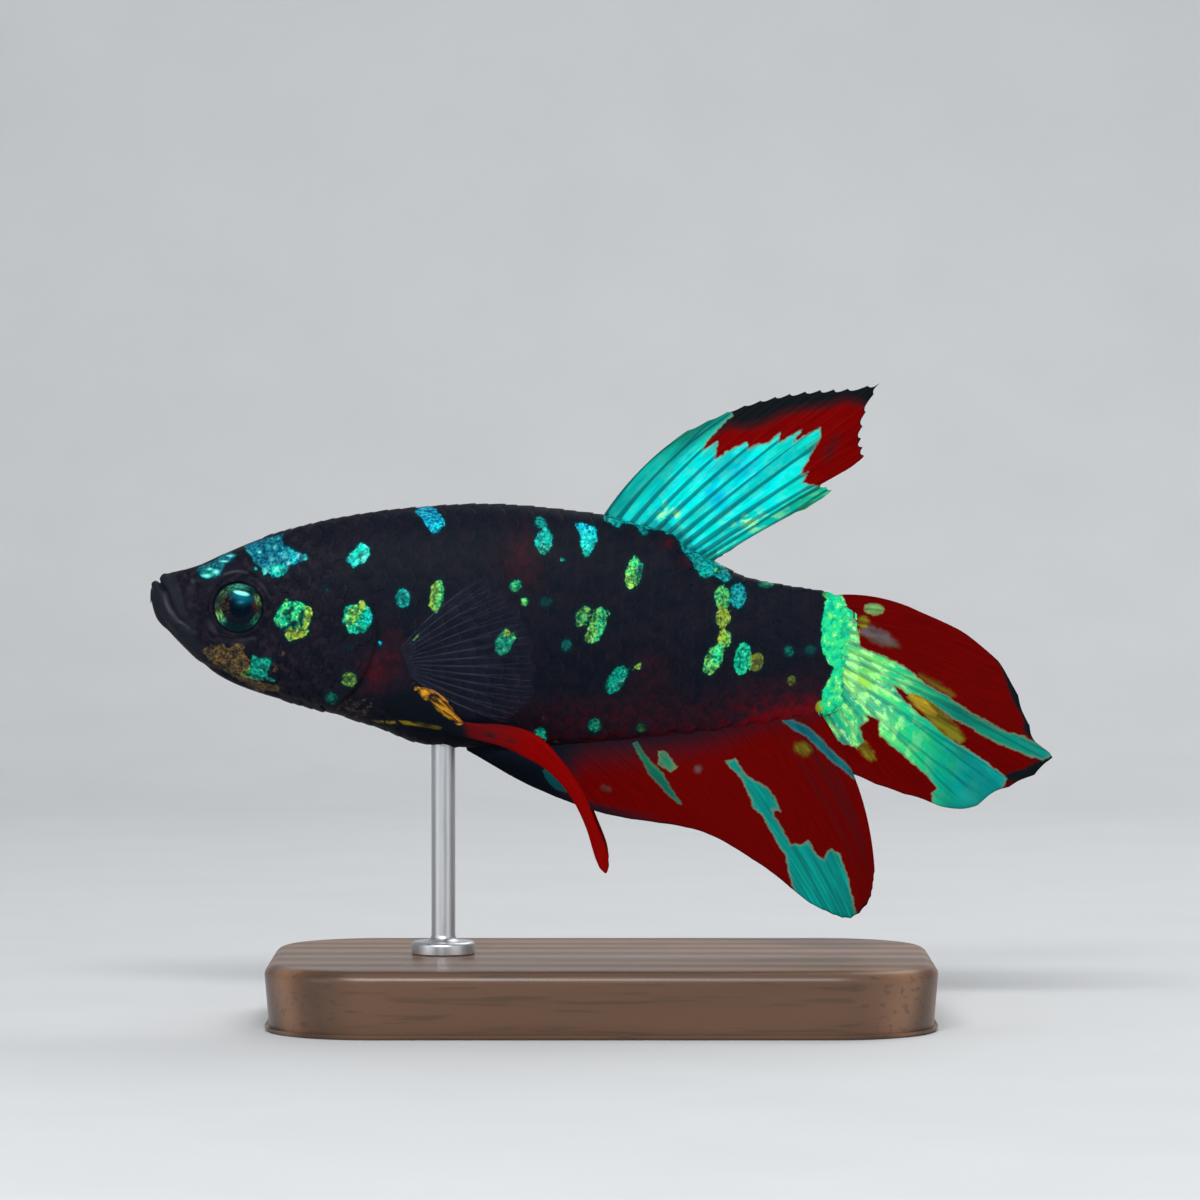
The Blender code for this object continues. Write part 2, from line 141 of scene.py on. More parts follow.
def gridFaces(rows, columns, closed=False):
    # quads over rows x columns points, with the last column joined to the first if closed
    r, c = np.meshgrid(np.arange(rows - 1), np.arange(columns - (not closed)), indexing="ij")
    a = r * columns + c
    b = r * columns + (c + 1) % columns
    return np.stack([a, b, b + columns, a + columns], -1).reshape(-1, 4).tolist()


def sleeveFaces(rows, columns):
    # a closed sleeve of rings with a flat face over each end
    faces = gridFaces(rows, columns, closed=True)
    return faces + [list(range(columns))[::-1], [(rows - 1) * columns + k for k in range(columns)]]


def sheetFaces(columns, rows):
    # a thin closed sheet: a grid of columns x rows points, the same grid behind it, and the rim between
    count = columns * rows
    faces = gridFaces(columns, rows)
    faces += [[count + k for k in reversed(face)] for face in faces]
    rim = ([c * rows for c in range(columns)] + [(columns - 1) * rows + r for r in range(1, rows)]
           + [c * rows + rows - 1 for c in range(columns - 2, -1, -1)] + list(range(rows - 2, 0, -1)))
    for here, after in zip(rim, rim[1:] + rim[:1]):
        faces.append([here, after, count + after, count + here])
    return faces


def sheetNormals(middle):
    normal = np.cross(np.gradient(middle, axis=0), np.gradient(middle, axis=1))
    return normal / np.linalg.norm(normal, axis=2, keepdims=True)


def addObject(name, data):
    made = bpy.data.objects.new(name, data)
    bpy.context.scene.collection.objects.link(made)
    return made


def setFields(mesh, fields):
    for name, values in fields.items():
        layer = mesh.attributes.new(name, "FLOAT", "POINT")
        layer.data.foreach_set("value", np.asarray(values, np.float32).ravel())


def makePiece(name, points, faces, material, fields=None, sharp=None):
    mesh = bpy.data.meshes.new(name)
    mesh.from_pydata(np.asarray(points).reshape(-1, 3).tolist(), [], faces)
    setFields(mesh, fields or {})
    work = bmesh.new()
    work.from_mesh(mesh)
    bmesh.ops.recalc_face_normals(work, faces=work.faces)
    work.to_mesh(mesh)
    work.free()
    mesh.shade_smooth()
    if sharp:
        mesh.set_sharp_from_angle(angle=math.radians(sharp))
    mesh.materials.append(material)
    return addObject(name, mesh)


def applied(piece):
    # the piece's modifiers turned into plain mesh
    bpy.context.view_layer.update()
    graph = bpy.context.evaluated_depsgraph_get()
    mesh = bpy.data.meshes.new_from_object(piece.evaluated_get(graph))
    piece.modifiers.clear()
    piece.data = mesh
    return piece


# Markings: shapes on the side of the fish, each with a hue from 0 (blue) to 1 (grey lilac)

def patch(hue, outline, bright=1.0, tilt=(0, 0)):
    return {"outline": np.array(outline, float), "hue": hue, "bright": bright, "tilt": tilt}


def oval(hue, along, high, wide, tall, lean=0, bright=1.0, tilt=(0, 0)):
    # lean is in degrees, top towards the tail
    turn = np.linspace(0, 2 * np.pi, 13)[:-1]
    a, h = wide / 2 * np.cos(turn), tall / 2 * np.sin(turn)
    lean = math.radians(lean)
    outline = np.stack([along + a * math.cos(lean) + h * math.sin(lean),
                        high - a * math.sin(lean) + h * math.cos(lean)], -1)
    return patch(hue, outline, bright, tilt)


def streak(hue, line, widths, bright=1.0, tilt=(0, 0)):
    shares = np.linspace(0, 1, 14)
    middle = lineThrough(line, shares)
    half = valueThrough(widths, shares)[:, None] / 2
    run = np.gradient(middle, axis=0)
    side = np.stack([-run[:, 1], run[:, 0]], -1) / np.linalg.norm(run, axis=1, keepdims=True)
    outline = np.concatenate([middle + side * half, (middle - side * half)[::-1]])
    return patch(hue, outline, bright, tilt)


def depthInside(a, h, outline):
    # how far inside an outline each place is, negative outside it
    nearest = np.full(a.shape, 1e9)
    inside = np.zeros(a.shape, bool)
    for (a0, h0), (a1, h1) in zip(outline, np.roll(outline, -1, axis=0)):
        da, dh = a1 - a0, h1 - h0
        t = np.clip(((a - a0) * da + (h - h0) * dh) / (da * da + dh * dh + 1e-12), 0, 1)
        nearest = np.minimum(nearest, (a - a0 - t * da) ** 2 + (h - h0 - t * dh) ** 2)
        if dh:
            inside ^= ((h0 > h) != (h1 > h)) & (a < a0 + da * (h - h0) / dh)
    return np.where(inside, 1, -1) * np.sqrt(nearest)


def markFields(marks, along, high):
    # how deep each place is in a mark, and its hue and brightness; a later mark lies over an earlier one
    shape = along.shape
    along, high = along.ravel(), high.ravel()
    depth = np.full(along.shape, -2.0)
    hue, bright = np.zeros_like(depth), np.ones_like(depth)
    for mark in marks:
        low, top = mark["outline"].min(0) - 1, mark["outline"].max(0) + 1
        near = np.flatnonzero((along > low[0]) & (along < top[0]) & (high > low[1]) & (high < top[1]))
        a, h = along[near], high[near]
        here = depthInside(a, h, mark["outline"])
        centre = mark["outline"].mean(0)
        shade = mark["hue"] + mark["tilt"][0] * (a - centre[0]) + mark["tilt"][1] * (h - centre[1])
        above = (here > depth[near]) | (here > 0)
        hue[near] = np.where(above, shade, hue[near])
        over = np.where(here > depth[near], 1, softStep(here, -0.1, 0.1))
        bright[near] += over * (mark["bright"] - bright[near])
        depth[near] = np.maximum(depth[near], here)
    return depth.reshape(shape), np.clip(hue, 0, 1).reshape(shape), bright.reshape(shape)


headMarks = [
    patch(0.28, ((3.53, 1.58), (3.78, 1.91), (4.61, 2.08), (5.36, 2.67), (6.12, 2.88), (6.53, 2.67),
                 (6.28, 2.33), (5.78, 2.0), (5.53, 1.58), (5.36, 1.25), (4.95, 0.99), (4.19, 0.83),
                 (3.86, 1.0), (3.69, 1.25)), bright=0.22),
    oval(0.42, 4.55, 1.3, 1.3, 0.65, lean=-12, bright=0.5),
             oval(0.3, 5.9, 2.5, 0.9, 0.4, lean=-25, bright=0.3),
    patch(0.25, ((7.08, 3.3), (7.9, 3.68), (8.96, 3.98), (10.1, 4.28), (9.93, 3.83), (10.16, 3.45),
                 (10.69, 3.23), (11.21, 2.93), (12.04, 2.7), (11.96, 2.36), (11.36, 2.25), (11.06, 1.95),
                 (10.76, 2.02), (10.46, 1.65), (10.31, 1.27), (9.71, 1.01), (9.26, 1.05), (8.96, 1.42),
                 (8.81, 1.08), (8.58, 1.16), (8.5, 1.65), (7.98, 2.1), (7.75, 2.47), (7.3, 2.93)),
          bright=0.33),
    oval(0.28, 10.75, 2.6, 1.4, 0.8, lean=60, bright=0.65), oval(0.46, 9.75, 1.55, 1.3, 0.9, bright=0.9),
    oval(0.42, 8.75, 1.55, 0.5, 0.75, bright=0.5), oval(0.38, 10.95, 2.2, 0.45, 0.35),
    oval(0.5, 11.7, 2.5, 0.4, 0.3), oval(0.36, 10.0, 2.85, 0.4, 0.3),
    oval(0.36, 8.09, 1.65, 0.3, 0.3, bright=0.5),
    # the cheek's spot: its lumps, then the dark gaps between them
    patch(0.61, ((10.41, -0.56), (10.8, -0.75), (11.35, -0.76), (12.08, -1.23), (12.28, -1.9), (11.81, -2.43),
                 (12.08, -3.1), (11.41, -3.5), (10.54, -3.7), (10.21, -3.23), (10.41, -2.77), (9.61, -2.57),
                 (9.41, -2.03), (9.67, -1.5), (9.94, -1.09))),
    oval(0.79, 11.95, -1.85, 0.75, 1.5, lean=15), oval(0.8, 11.1, -3.1, 1.9, 1.0, lean=-10, bright=0.65),
    oval(0.56, 9.85, -2.1, 0.9, 0.9, bright=0.7),
    streak(0.5, ((10.1, -1.75), (10.58, -1.56), (10.88, -0.9)), (0.42, 0.34, 0.2), bright=0),
    streak(0.5, ((10.35, -1.9), (11.08, -2.3), (11.55, -2.03), (11.61, -1.3)), (0.22, 0.26, 0.22, 0.16),
           bright=0),
    streak(0.5, ((10.1, -2.9), (10.68, -2.57), (11.35, -2.5), (11.9, -2.3)), (0.36, 0.28, 0.24, 0.2),
           bright=0),
    patch(0.945, ((3.84, -4.56), (4.61, -4.01), (5.5, -3.95), (5.94, -4.34), (6.6, -3.9), (7.26, -4.01),
                  (7.15, -4.56), (7.59, -5.22), (7.6, -5.9), (7.6, -6.5), (8.36, -6.8), (9.25, -7.05),
                  (10.29, -7.2), (10.1, -7.4), (9.36, -7.6), (8.14, -7.7), (7.26, -7.1), (6.38, -6.66),
                  (5.5, -5.99), (4.72, -5.44)), bright=0.6),
    oval(0.945, 9.5, -5.8, 0.4, 0.8, bright=0.4), oval(0.945, 10.1, -4.6, 0.5, 0.4, bright=0.6),
    patch(0.47, ((7.81, -4.84), (8.4, -5.05), (9.25, -4.95), (9.14, -5.55), (8.7, -6.21), (8.6, -6.7),
                 (7.7, -6.6), (7.15, -6.32), (7.59, -5.66)), bright=0.5),
    oval(0.66, 7.3, -6.2, 0.7, 0.6, bright=0.15),
    streak(0.42, ((8.75, -6.0), (8.85, -6.5), (9.45, -6.75)), (0.15, 0.3, 0.2), bright=0.35),
]

flankMarks = [
    patch(0.43, ((16.09, 3.65), (16.56, 3.38), (16.63, 2.78), (16.23, 2.11), (15.69, 1.98), (15.42, 1.65),
                 (15.22, 1.71), (15.29, 2.11), (14.89, 2.31), (14.75, 2.52), (15.16, 2.78), (15.49, 3.18),
                 (15.76, 3.58))),
    oval(0.36, 15.05, 2.4, 0.6, 0.5, bright=0.6), oval(0.6, 15.85, 2.75, 0.34, 0.4, bright=0.25),
    patch(0.5, ((14.89, -1.09), (15.69, -0.96), (16.02, -0.63), (16.29, -0.83), (16.56, -1.23), (16.89, -1.9),
                (16.76, -2.43), (16.29, -2.97), (15.69, -3.23), (15.16, -3.1), (14.69, -2.57), (14.55, -2.3),
                (14.75, -1.9), (14.69, -1.36)), bright=0.75),
    oval(0.72, 15.4, -1.75, 1.2, 1.6, lean=20, bright=0.8), oval(0.78, 16.05, -1.0, 0.5, 0.8, bright=0.65),
    oval(0.4, 16.55, -2.0, 0.6, 1.2, bright=0.8),
    oval(0.76, 15.09, -6.55, 1.14, 1.14, bright=0.55), oval(0.46, 13.71, -7.98, 0.96, 0.96, bright=0.2),
    streak(0.985, ((13.9, -9.1), (14.6, -8.4), (15.4, -7.8)), (0.15, 0.4, 0.15), bright=0.22),
    streak(0.985, ((14.6, -9.5), (15.4, -8.6), (16.4, -8.1)), (0.15, 0.4, 0.2), bright=0.25),
    streak(0.985, ((15.2, -9.6), (16.0, -9.2), (16.8, -8.3)), (0.15, 0.35, 0.2), bright=0.28),
    streak(0.985, ((14.4, -8.6), (15.3, -9.0), (16.4, -9.3)), (0.15, 0.35, 0.15), bright=0.22),
    oval(0.5, 13.35, 0.17, 0.2, 0.5, lean=-35, bright=0.35),
    streak(0.9, ((19.7, -6.85), (20.9, -7.2), (21.95, -7.85), (22.85, -8.75)), (0.1, 0.15, 0.17, 0.16)),
    streak(0.89, ((19.75, -7.05), (20.8, -7.45), (21.75, -8.08), (22.6, -8.95)), (0.1, 0.16, 0.16, 0.15)),
    streak(0.9, ((19.85, -7.3), (20.7, -7.72), (21.5, -8.33), (22.4, -9.2)), (0.1, 0.16, 0.17, 0.14),
           bright=0.85),
    oval(0.25, 17.39, -3.88, 0.34, 0.34), oval(0.4, 15.07, -4.12, 0.25, 0.25, bright=0.7),
    oval(0.4, 19.1, -0.5, 1.15, 1.5, bright=0.55),
    oval(0.4, 19.15, -0.5, 0.65, 0.95, bright=0.22),
    patch(0.71, ((21.92, 0.97), (22.19, 0.38), (22.1, -0.61), (21.92, -1.24), (21.47, -1.74),
                 (21.02, -1.06), (21.15, -0.16), (21.2, 0.56), (21.74, 0.83)), tilt=(-0.15, 0), bright=0.75),
    patch(0.24, ((19.85, 5.89), (20.21, 6.25), (21.2, 6.3), (21.56, 5.98), (22.19, 5.3), (22.1, 4.81),
                 (21.47, 4.13), (20.66, 4.99), (20.57, 5.35)), bright=0.7),
    oval(0.31, 21.5, 4.75, 0.5, 0.8, lean=25, bright=0.9),
    streak(0.78, ((19.7, -3.8), (20.0, -3.5), (20.25, -3.2)), (0.1, 0.18, 0.1)),
    oval(0.52, 26.6, -3.9, 1.3, 1.8, lean=15, bright=0.48), oval(0.76, 26.85, -3.1, 0.6, 0.75),
    oval(0.6, 27.3, -3.45, 0.5, 0.7, lean=30, bright=0.7),
    oval(0.58, 27.52, 0.38, 0.95, 1.0, bright=0.42), oval(0.66, 27.5, 0.45, 0.45, 0.55),
    oval(0.66, 28.19, -0.73, 0.64, 0.64), oval(0.4, 29.77, -0.79, 0.9, 0.8, bright=0.04),
    patch(0.44, ((29.77, 4.85), (30.22, 4.26), (30.27, 3.45), (29.86, 2.73), (29.41, 2.59), (29.05, 3.18),
                 (28.82, 3.81), (29.23, 4.44)), tilt=(0, -0.05), bright=0.75),
    oval(0.4, 29.3, 5.1, 0.95, 0.9, lean=40, bright=0.36), oval(0.36, 30.97, 2.35, 0.4, 0.4, bright=0.6),
    patch(0.34, ((31.97, 5.11), (32.49, 5.18), (32.79, 4.8), (33.25, 5.03), (33.55, 4.5), (33.55, 3.75),
                 (33.25, 3.0), (32.87, 2.4), (32.57, 2.55), (32.34, 3.6), (32.27, 4.2), (31.97, 4.8)),
          tilt=(0.0, -0.07), bright=0.85),
    patch(0.68, ((36.4, 2.7), (37.01, 1.95), (36.93, 1.05), (36.48, 0.29), (35.95, 0.0), (35.65, 0.74),
                 (35.8, 1.8)), tilt=(-0.05, -0.04)),
    oval(0.46, 36.8, 1.6, 0.4, 0.9, lean=10, bright=0.18),
    patch(0.68, ((31.97, -1.66), (32.72, -0.98), (33.17, -1.36), (33.02, -2.11), (32.42, -2.71),
                 (31.97, -2.56)), bright=0.55),
    patch(0.67, ((33.85, -0.98), (34.37, -1.66), (34.22, -2.71), (33.77, -3.62), (33.02, -3.99),
                 (32.57, -3.62), (33.02, -2.56), (33.4, -1.66)), tilt=(-0.12, 0.02), bright=0.72),
    oval(0.66, 34.45, -1.66, 0.3, 0.3, bright=0.8), oval(0.42, 31.3, -4.05, 0.8, 1.0, bright=0.12),
    oval(0.47, 35.02, -6.67, 1.25, 2.5, lean=35, bright=0.55),
              oval(0.77, 36.66, -5.65, 0.6, 0.6, bright=0.75),
    oval(0.66, 43.0, -0.53, 1.3, 1.7, bright=0.7), oval(0.8, 43.02, -2.04, 1.2, 1.6, bright=0.6),
    oval(0.75, 43.17, -3.62, 1.1, 1.5, tilt=(-0.15, 0), bright=0.8),
    oval(0.68, 42.3, -5.2, 1.3, 2.6, lean=25, bright=0.85), oval(0.56, 42.6, -4.8, 0.7, 1.7, lean=25),
    oval(0.34, 44.2, -0.38, 1.26, 1.96, bright=0.42), oval(0.52, 44.5, -5.15, 1.3, 2.6, lean=8, bright=0.8),
    oval(0.83, 45.58, -5.38, 1.1, 1.55, lean=15, bright=0.35),
              oval(0.46, 48.01, -4.59, 0.75, 0.8, bright=0.22),
    oval(0.38, 49.64, -4.52, 0.9, 0.7, bright=0.05), oval(0.83, 48.22, -6.84, 0.7, 0.85, bright=0.2),
    oval(0.85, 50.4, -8.8, 0.7, 1.0, lean=20, bright=0.45),
    patch(0.5, ((28.7, -10.7), (29.3, -10.25), (29.75, -10.5), (29.8, -11.4), (29.3, -11.1)), bright=0.9),
    oval(1.0, 30.5, -11.4, 0.4, 0.4, bright=0.3), oval(1.0, 29.5, -9.6, 0.4, 0.4, bright=0.3),
    oval(0.5, 33.4, -10.15, 1.0, 1.2, bright=0.35), oval(0.66, 36.9, -10.35, 0.75, 0.75, bright=0.16),
    streak(0.862, ((16.5, -9.75), (17.6, -9.85), (18.6, -9.9)), (0.12, 0.26, 0.3), bright=0.3),
    # the sheath of small scales along the dorsal fin's foot, and the lumps behind it
    patch(0.36, ((33.9, 6.2), (34.2, 5.2), (34.7, 5.05), (34.9, 4.75), (35.3, 4.75), (35.6, 5.05),
                 (36.1, 5.0),
                 (36.6, 4.75), (36.95, 4.15), (37.3, 4.05), (37.5, 4.6), (38.4, 4.5), (38.9, 4.2),
                 (39.4, 4.2),
                 (39.8, 3.5),
                 (40.1, 2.7), (40.5, 2.4), (41.3, 1.1), (41.7, 0.9), (42.4, 1.1), (43.2, 0.5), (43.8, 1.0),
                 (42.5, 2.6), (40.0, 5.0), (37.0, 6.2)), bright=0.42),
    oval(0.42, 41.6, 1.6, 0.7, 1.0, bright=0.65), oval(0.5, 42.6, 1.5, 0.7, 0.6, bright=0.55),
    oval(0.55, 46.3, 0.5, 1.3, 0.7, bright=0.25), oval(0.7, 51.2, -0.35, 1.3, 0.8, bright=0.35),
    # where the tail fin's base colour runs forward onto the stem
    patch(0.6, ((51.1, 0.5), (50.7, -1.3), (50.5, -2.7), (50.45, -4.4), (51.0, -5.5), (51.4, -5.9),
                (51.2, -6.6), (50.6, -7.6), (50.45, -8.6), (50.6, -9.5), (50.9, -10.3), (51.1, -11.2),
                (54, -11.2), (54, 0.5))),
]

dorsalMarks = [
    patch(0.37, ((33.0, 0.0), (33.0, 9.0), (42.5, 14.6), (43.9, 13.15), (42.7, 12.1), (41.9, 11.15),
                 (41.6, 10.6), (42.7, 11.2), (42.5, 9.9), (43.5, 10.5), (44.9, 11.2), (45.0, 10.65),
                 (45.9, 11.05), (46.4, 11.05), (47.4, 11.9), (47.3, 11.1), (49.1, 12.15), (48.4, 11.15),
                 (50.35, 12.25), (50.5, 11.6), (49.8, 10.3), (48.95, 8.75), (49.5, 8.9), (49.1, 8.1),
                 (50.2, 7.85), (52.2, 7.9), (52.0, 5.5), (44.0, 0.0))),
]

tailMarks = [
    patch(0.67, ((49.0, 0.5), (51.7, 0.2), (52.1, -0.46), (52.5, -1.5), (53.1, -2.4), (53.4, -3.8),
                 (53.6, -6.2),
                 (53.0, -8.0), (51.0, -8.0), (49.0, -6.0), (49.0, -1.0))),
    patch(0.57, ((52.6, -3.6), (53.6, -4.4), (55.4, -5.1), (56.9, -5.9), (57.8, -6.6), (58.3, -7.1),
                (60.1, -8.1), (61.7, -9.2), (63.3, -10.1), (64.6, -10.8), (65.8, -11.1), (67.0, -11.7),
                (68.3, -12.6), (67.4, -13.0), (66.1, -12.6), (64.6, -12.0), (63.1, -11.3), (61.6, -10.4),
                (60.5, -9.8), (59.8, -9.3), (58.7, -8.6), (57.8, -8.2), (56.9, -7.9), (56.2, -7.3),
                (54.5, -6.9), (53.0, -6.3)), tilt=(-0.02, 0), bright=0.9),
    patch(0.56, ((52.0, -6.0), (54.5, -6.6), (56.0, -7.3), (56.7, -8.3), (57.8, -9.3), (58.9, -10.1),
                 (59.9, -11.0), (61.1, -11.8), (62.4, -12.6), (63.9, -13.7), (64.65, -14.4), (64.1, -15.7),
                 (63.0, -16.1), (62.4, -17.0), (60.0, -17.4), (59.0, -16.2), (58.9, -15.4), (59.3, -15.1),
                 (58.5, -14.1), (57.1, -12.9), (56.3, -12.2), (55.0, -11.1), (54.8, -10.5), (54.9, -9.9),
                 (53.6, -9.4), (52.0, -8.5)), tilt=(-0.036, 0)),
    patch(0.64, ((52.0, -6.6), (49.5, -7.7), (49.5, -9.0), (50.5, -9.9), (51.1, -10.8), (51.7, -11.4),
                 (52.3, -11.7), (53.4, -12.0), (53.8, -11.6), (53.4, -10.4), (54.2, -9.8), (53.0, -8.0)),
          bright=0.8),
    streak(0.85, ((53.5, -11.7), (54.1, -12.4), (54.5, -12.9)), (0.7, 0.6, 0.4), bright=0.4),
    # olive edging above the upper stripe, and the gold one between the stripes
    streak(0.88, ((57.9, -6.5), (59.3, -7.3), (60.6, -8.1)), (0.2, 0.45, 0.2), bright=0.16),
    streak(0.845, ((57.2, -8.0), (58.6, -9.0), (60.0, -10.4), (61.2, -11.5)), (0.5, 1.1, 1.2, 0.5),
           bright=0.28),
    streak(0.866, ((57.2, -8.0), (58.1, -8.7), (59.2, -9.5)), (0.4, 0.8, 0.3)),
    oval(0.8, 54.5, -1.5, 1.6, 0.9, lean=8, bright=0.4),
    streak(1.0, ((53.6, -2.9), (54.9, -3.6), (56.4, -4.3)), (0.9, 1.1, 0.2), bright=0.6),
    oval(0.84, 53.7, -2.5, 0.8, 0.8, bright=0.35),
]

analMarks = [
    streak(0.6, ((36.4, -11.5), (37.0, -12.5), (38.1, -14.0), (39.2, -15.4), (39.95, -16.2)),
           (0.4, 0.5, 0.85, 0.45, 0.15), bright=0.16),
    patch(0.76, ((38.2, -12.2), (38.8, -12.2), (39.6, -13.35), (39.1, -13.75), (38.2, -13.2)), bright=0.32),
    oval(0.68, 38.95, -12.95, 0.6, 0.9, lean=-35, bright=0.34),
    oval(1.0, 41.2, -13.5, 0.45, 0.5, bright=0.45), oval(1.0, 34.25, -14.95, 0.7, 0.3, lean=30, bright=0.25),
    patch(0.43, ((43.1, -12.9), (44.0, -12.75), (44.7, -13.9), (46.4, -14.9), (47.1, -15.8), (47.45, -16.8),
                 (46.8, -16.6), (47.1, -17.2), (48.2, -19.2), (49.1, -19.2), (49.5, -18.95), (50.1, -20.0),
                 (50.7, -20.4), (50.9, -19.8), (51.3, -19.6), (51.9, -20.0), (52.5, -21.6), (53.4, -25.4),
                 (49.5, -25.4), (48.1, -21.8), (47.8, -20.2), (46.9, -18.7), (46.0, -17.0), (45.3, -16.5),
                 (45.1, -15.6), (44.4, -14.2)), bright=0.38),
    streak(0.27, ((47.6, -9.8), (48.6, -10.3), (49.5, -10.8), (51.0, -12.3), (53.2, -14.2)),
           (0.35, 0.7, 0.75, 0.65, 0.5), bright=0.17),
    oval(0.85, 49.1, -12.0, 1.3, 1.0, lean=20, bright=0.2),
    streak(0.36, ((29.6, -13.5), (30.4, -14.3), (31.3, -15.2)), (0.4, 1.1, 0.3), bright=0.06),
]

pelvicMarks = [
    streak(0.9, ((19.7, -6.85), (20.9, -7.2), (21.95, -7.85), (22.85, -8.75), (23.55, -9.9)),
           (0.1, 0.15, 0.17, 0.16, 0.08)),
    streak(0.89, ((19.75, -7.05), (20.8, -7.45), (21.75, -8.08), (22.6, -8.95), (23.4, -10.0)),
           (0.1, 0.16, 0.16, 0.15, 0.08)),
    streak(0.9, ((19.85, -7.3), (20.7, -7.72), (21.5, -8.33), (22.4, -9.2), (23.2, -10.05)),
           (0.1, 0.16, 0.17, 0.14, 0.08), bright=0.85),
    streak(0.88, ((20.3, -7.75), (21.2, -8.45), (22.0, -9.15), (22.6, -9.8)), (0.06, 0.12, 0.12, 0.06),
           bright=0.5),
    streak(0.862, ((16.7, -9.8), (18.2, -9.8), (20.0, -9.95), (22.0, -10.3)), (0.2, 0.28, 0.3, 0.18),
           bright=0.3),
]


# Materials. Texture scales are in patterns per metre: 1000 is one per millimetre.

def socketOf(tree, socket, value):
    if isinstance(value, bpy.types.NodeSocket):
        tree.links.new(value, socket)
    elif value is not None:
        socket.default_value = value


def attributeOf(tree, name):
    made = tree.nodes.new("ShaderNodeAttribute")
    made.attribute_name = name
    return made.outputs["Fac"]


def objectPlace(tree):
    return tree.nodes.new("ShaderNodeTexCoord").outputs["Object"]


def stretched(tree, vector, scale):
    mapping = tree.nodes.new("ShaderNodeMapping")
    mapping.inputs["Scale"].default_value = scale
    tree.links.new(vector, mapping.inputs["Vector"])
    return mapping.outputs["Vector"]


def noiseOf(tree, scale, vector=None, detail=2.0, roughness=0.5, stretch=None):
    vector = vector or objectPlace(tree)
    if stretch:
        vector = stretched(tree, vector, stretch)
    made = tree.nodes.new("ShaderNodeTexNoise")
    made.inputs["Scale"].default_value = scale
    made.inputs["Detail"].default_value = detail
    made.inputs["Roughness"].default_value = roughness
    tree.links.new(vector, made.inputs["Vector"])
    return made.outputs["Fac"]


def cellsOf(tree, scale, output="Distance"):
    made = tree.nodes.new("ShaderNodeTexVoronoi")
    made.inputs["Scale"].default_value = scale
    tree.links.new(objectPlace(tree), made.inputs["Vector"])
    return made.outputs[output]


def mathOf(tree, operation, first, second=None, third=None):
    made = tree.nodes.new("ShaderNodeMath")
    made.operation = operation
    for socket, value in zip(made.inputs, (first, second, third)):
        socketOf(tree, socket, value)
    return made.outputs[0]


def timesOf(tree, first, second):
    return mathOf(tree, "MULTIPLY", first, second)


def restOf(tree, value):
    return mathOf(tree, "SUBTRACT", 1.0, value)


def centred(tree, value):
    return mathOf(tree, "SUBTRACT", value, 0.5)


def flowOf(tree, x, y):
    # a place made from two values, for a texture that runs along something
    made = tree.nodes.new("ShaderNodeCombineXYZ")
    tree.links.new(x, made.inputs["X"])
    tree.links.new(y, made.inputs["Y"])
    return made.outputs[0]


def stepOf(tree, value, low, high, start=0.0, end=1.0):
    made = tree.nodes.new("ShaderNodeMapRange")
    made.interpolation_type = "SMOOTHSTEP"
    for name, setting in (("Value", value), ("From Min", low), ("From Max", high),
                          ("To Min", start), ("To Max", end)):
        socketOf(tree, made.inputs[name], setting)
    return made.outputs["Result"]


def mixOf(tree, share, first, second, blend="MIX"):
    made = tree.nodes.new("ShaderNodeMix")
    made.data_type = "RGBA"
    made.blend_type = blend
    socketOf(tree, made.inputs["Factor"], share)
    for socket, colour in ((made.inputs[6], first), (made.inputs[7], second)):
        socketOf(tree, socket, (*colour, 1) if isinstance(colour, tuple) else colour)
    return made.outputs[2]


def layered(tree, colour, *layers):
    # colours laid over one another, each as (share, colour)
    for share, over in layers:
        colour = mixOf(tree, share, colour, over)
    return colour


def rampOf(tree, value, stops):
    made = tree.nodes.new("ShaderNodeValToRGB")
    elements = made.color_ramp.elements
    elements[0].position, elements[1].position = stops[0][0], stops[-1][0]
    for position, _ in stops[1:-1]:
        elements.new(position)
    for element, (position, colour) in zip(elements, stops):
        element.position, element.color = position, (*colour, 1)
    tree.links.new(value, made.inputs["Fac"])
    return made.outputs["Color"]


def bumpOf(tree, height, depth, strength=1.0):
    made = tree.nodes.new("ShaderNodeBump")
    made.inputs["Distance"].default_value = depth * mm
    made.inputs["Strength"].default_value = strength
    tree.links.new(height, made.inputs["Height"])
    return made.outputs["Normal"]


def newMaterial(name, roughness, **settings):
    material = bpy.data.materials.new(name)
    material.use_nodes = True
    shader = material.node_tree.nodes["Principled BSDF"]
    shader.inputs["Roughness"].default_value = roughness
    for socket, value in settings.items():
        shader.inputs[socket.replace("_", " ")].default_value = value
    return material, material.node_tree, shader


def dress(tree, shader, colour, normal=None, roughness=None):
    # what varies over a surface
    for socket, value in (("Base Color", colour), ("Normal", normal), ("Roughness", roughness)):
        if value is not None:
            tree.links.new(value, shader.inputs[socket])


# the colours of the shining marks, by hue
shineStops = ((0.0, (0.01, 0.09, 0.5)), (0.2, (0.0, 0.26, 0.62)), (0.36, (0.0, 0.72, 0.7)),
              (0.5, (0.0, 0.6, 0.36)), (0.62, (0.02, 0.66, 0.22)), (0.72, (0.2, 0.68, 0.1)),
              (0.8, (0.42, 0.64, 0.04)), (0.86, (0.55, 0.46, 0.02)), (0.9, (0.85, 0.34, 0.02)),
              (0.945, (0.17, 0.12, 0.045)), (1.0, (0.15, 0.12, 0.15)))


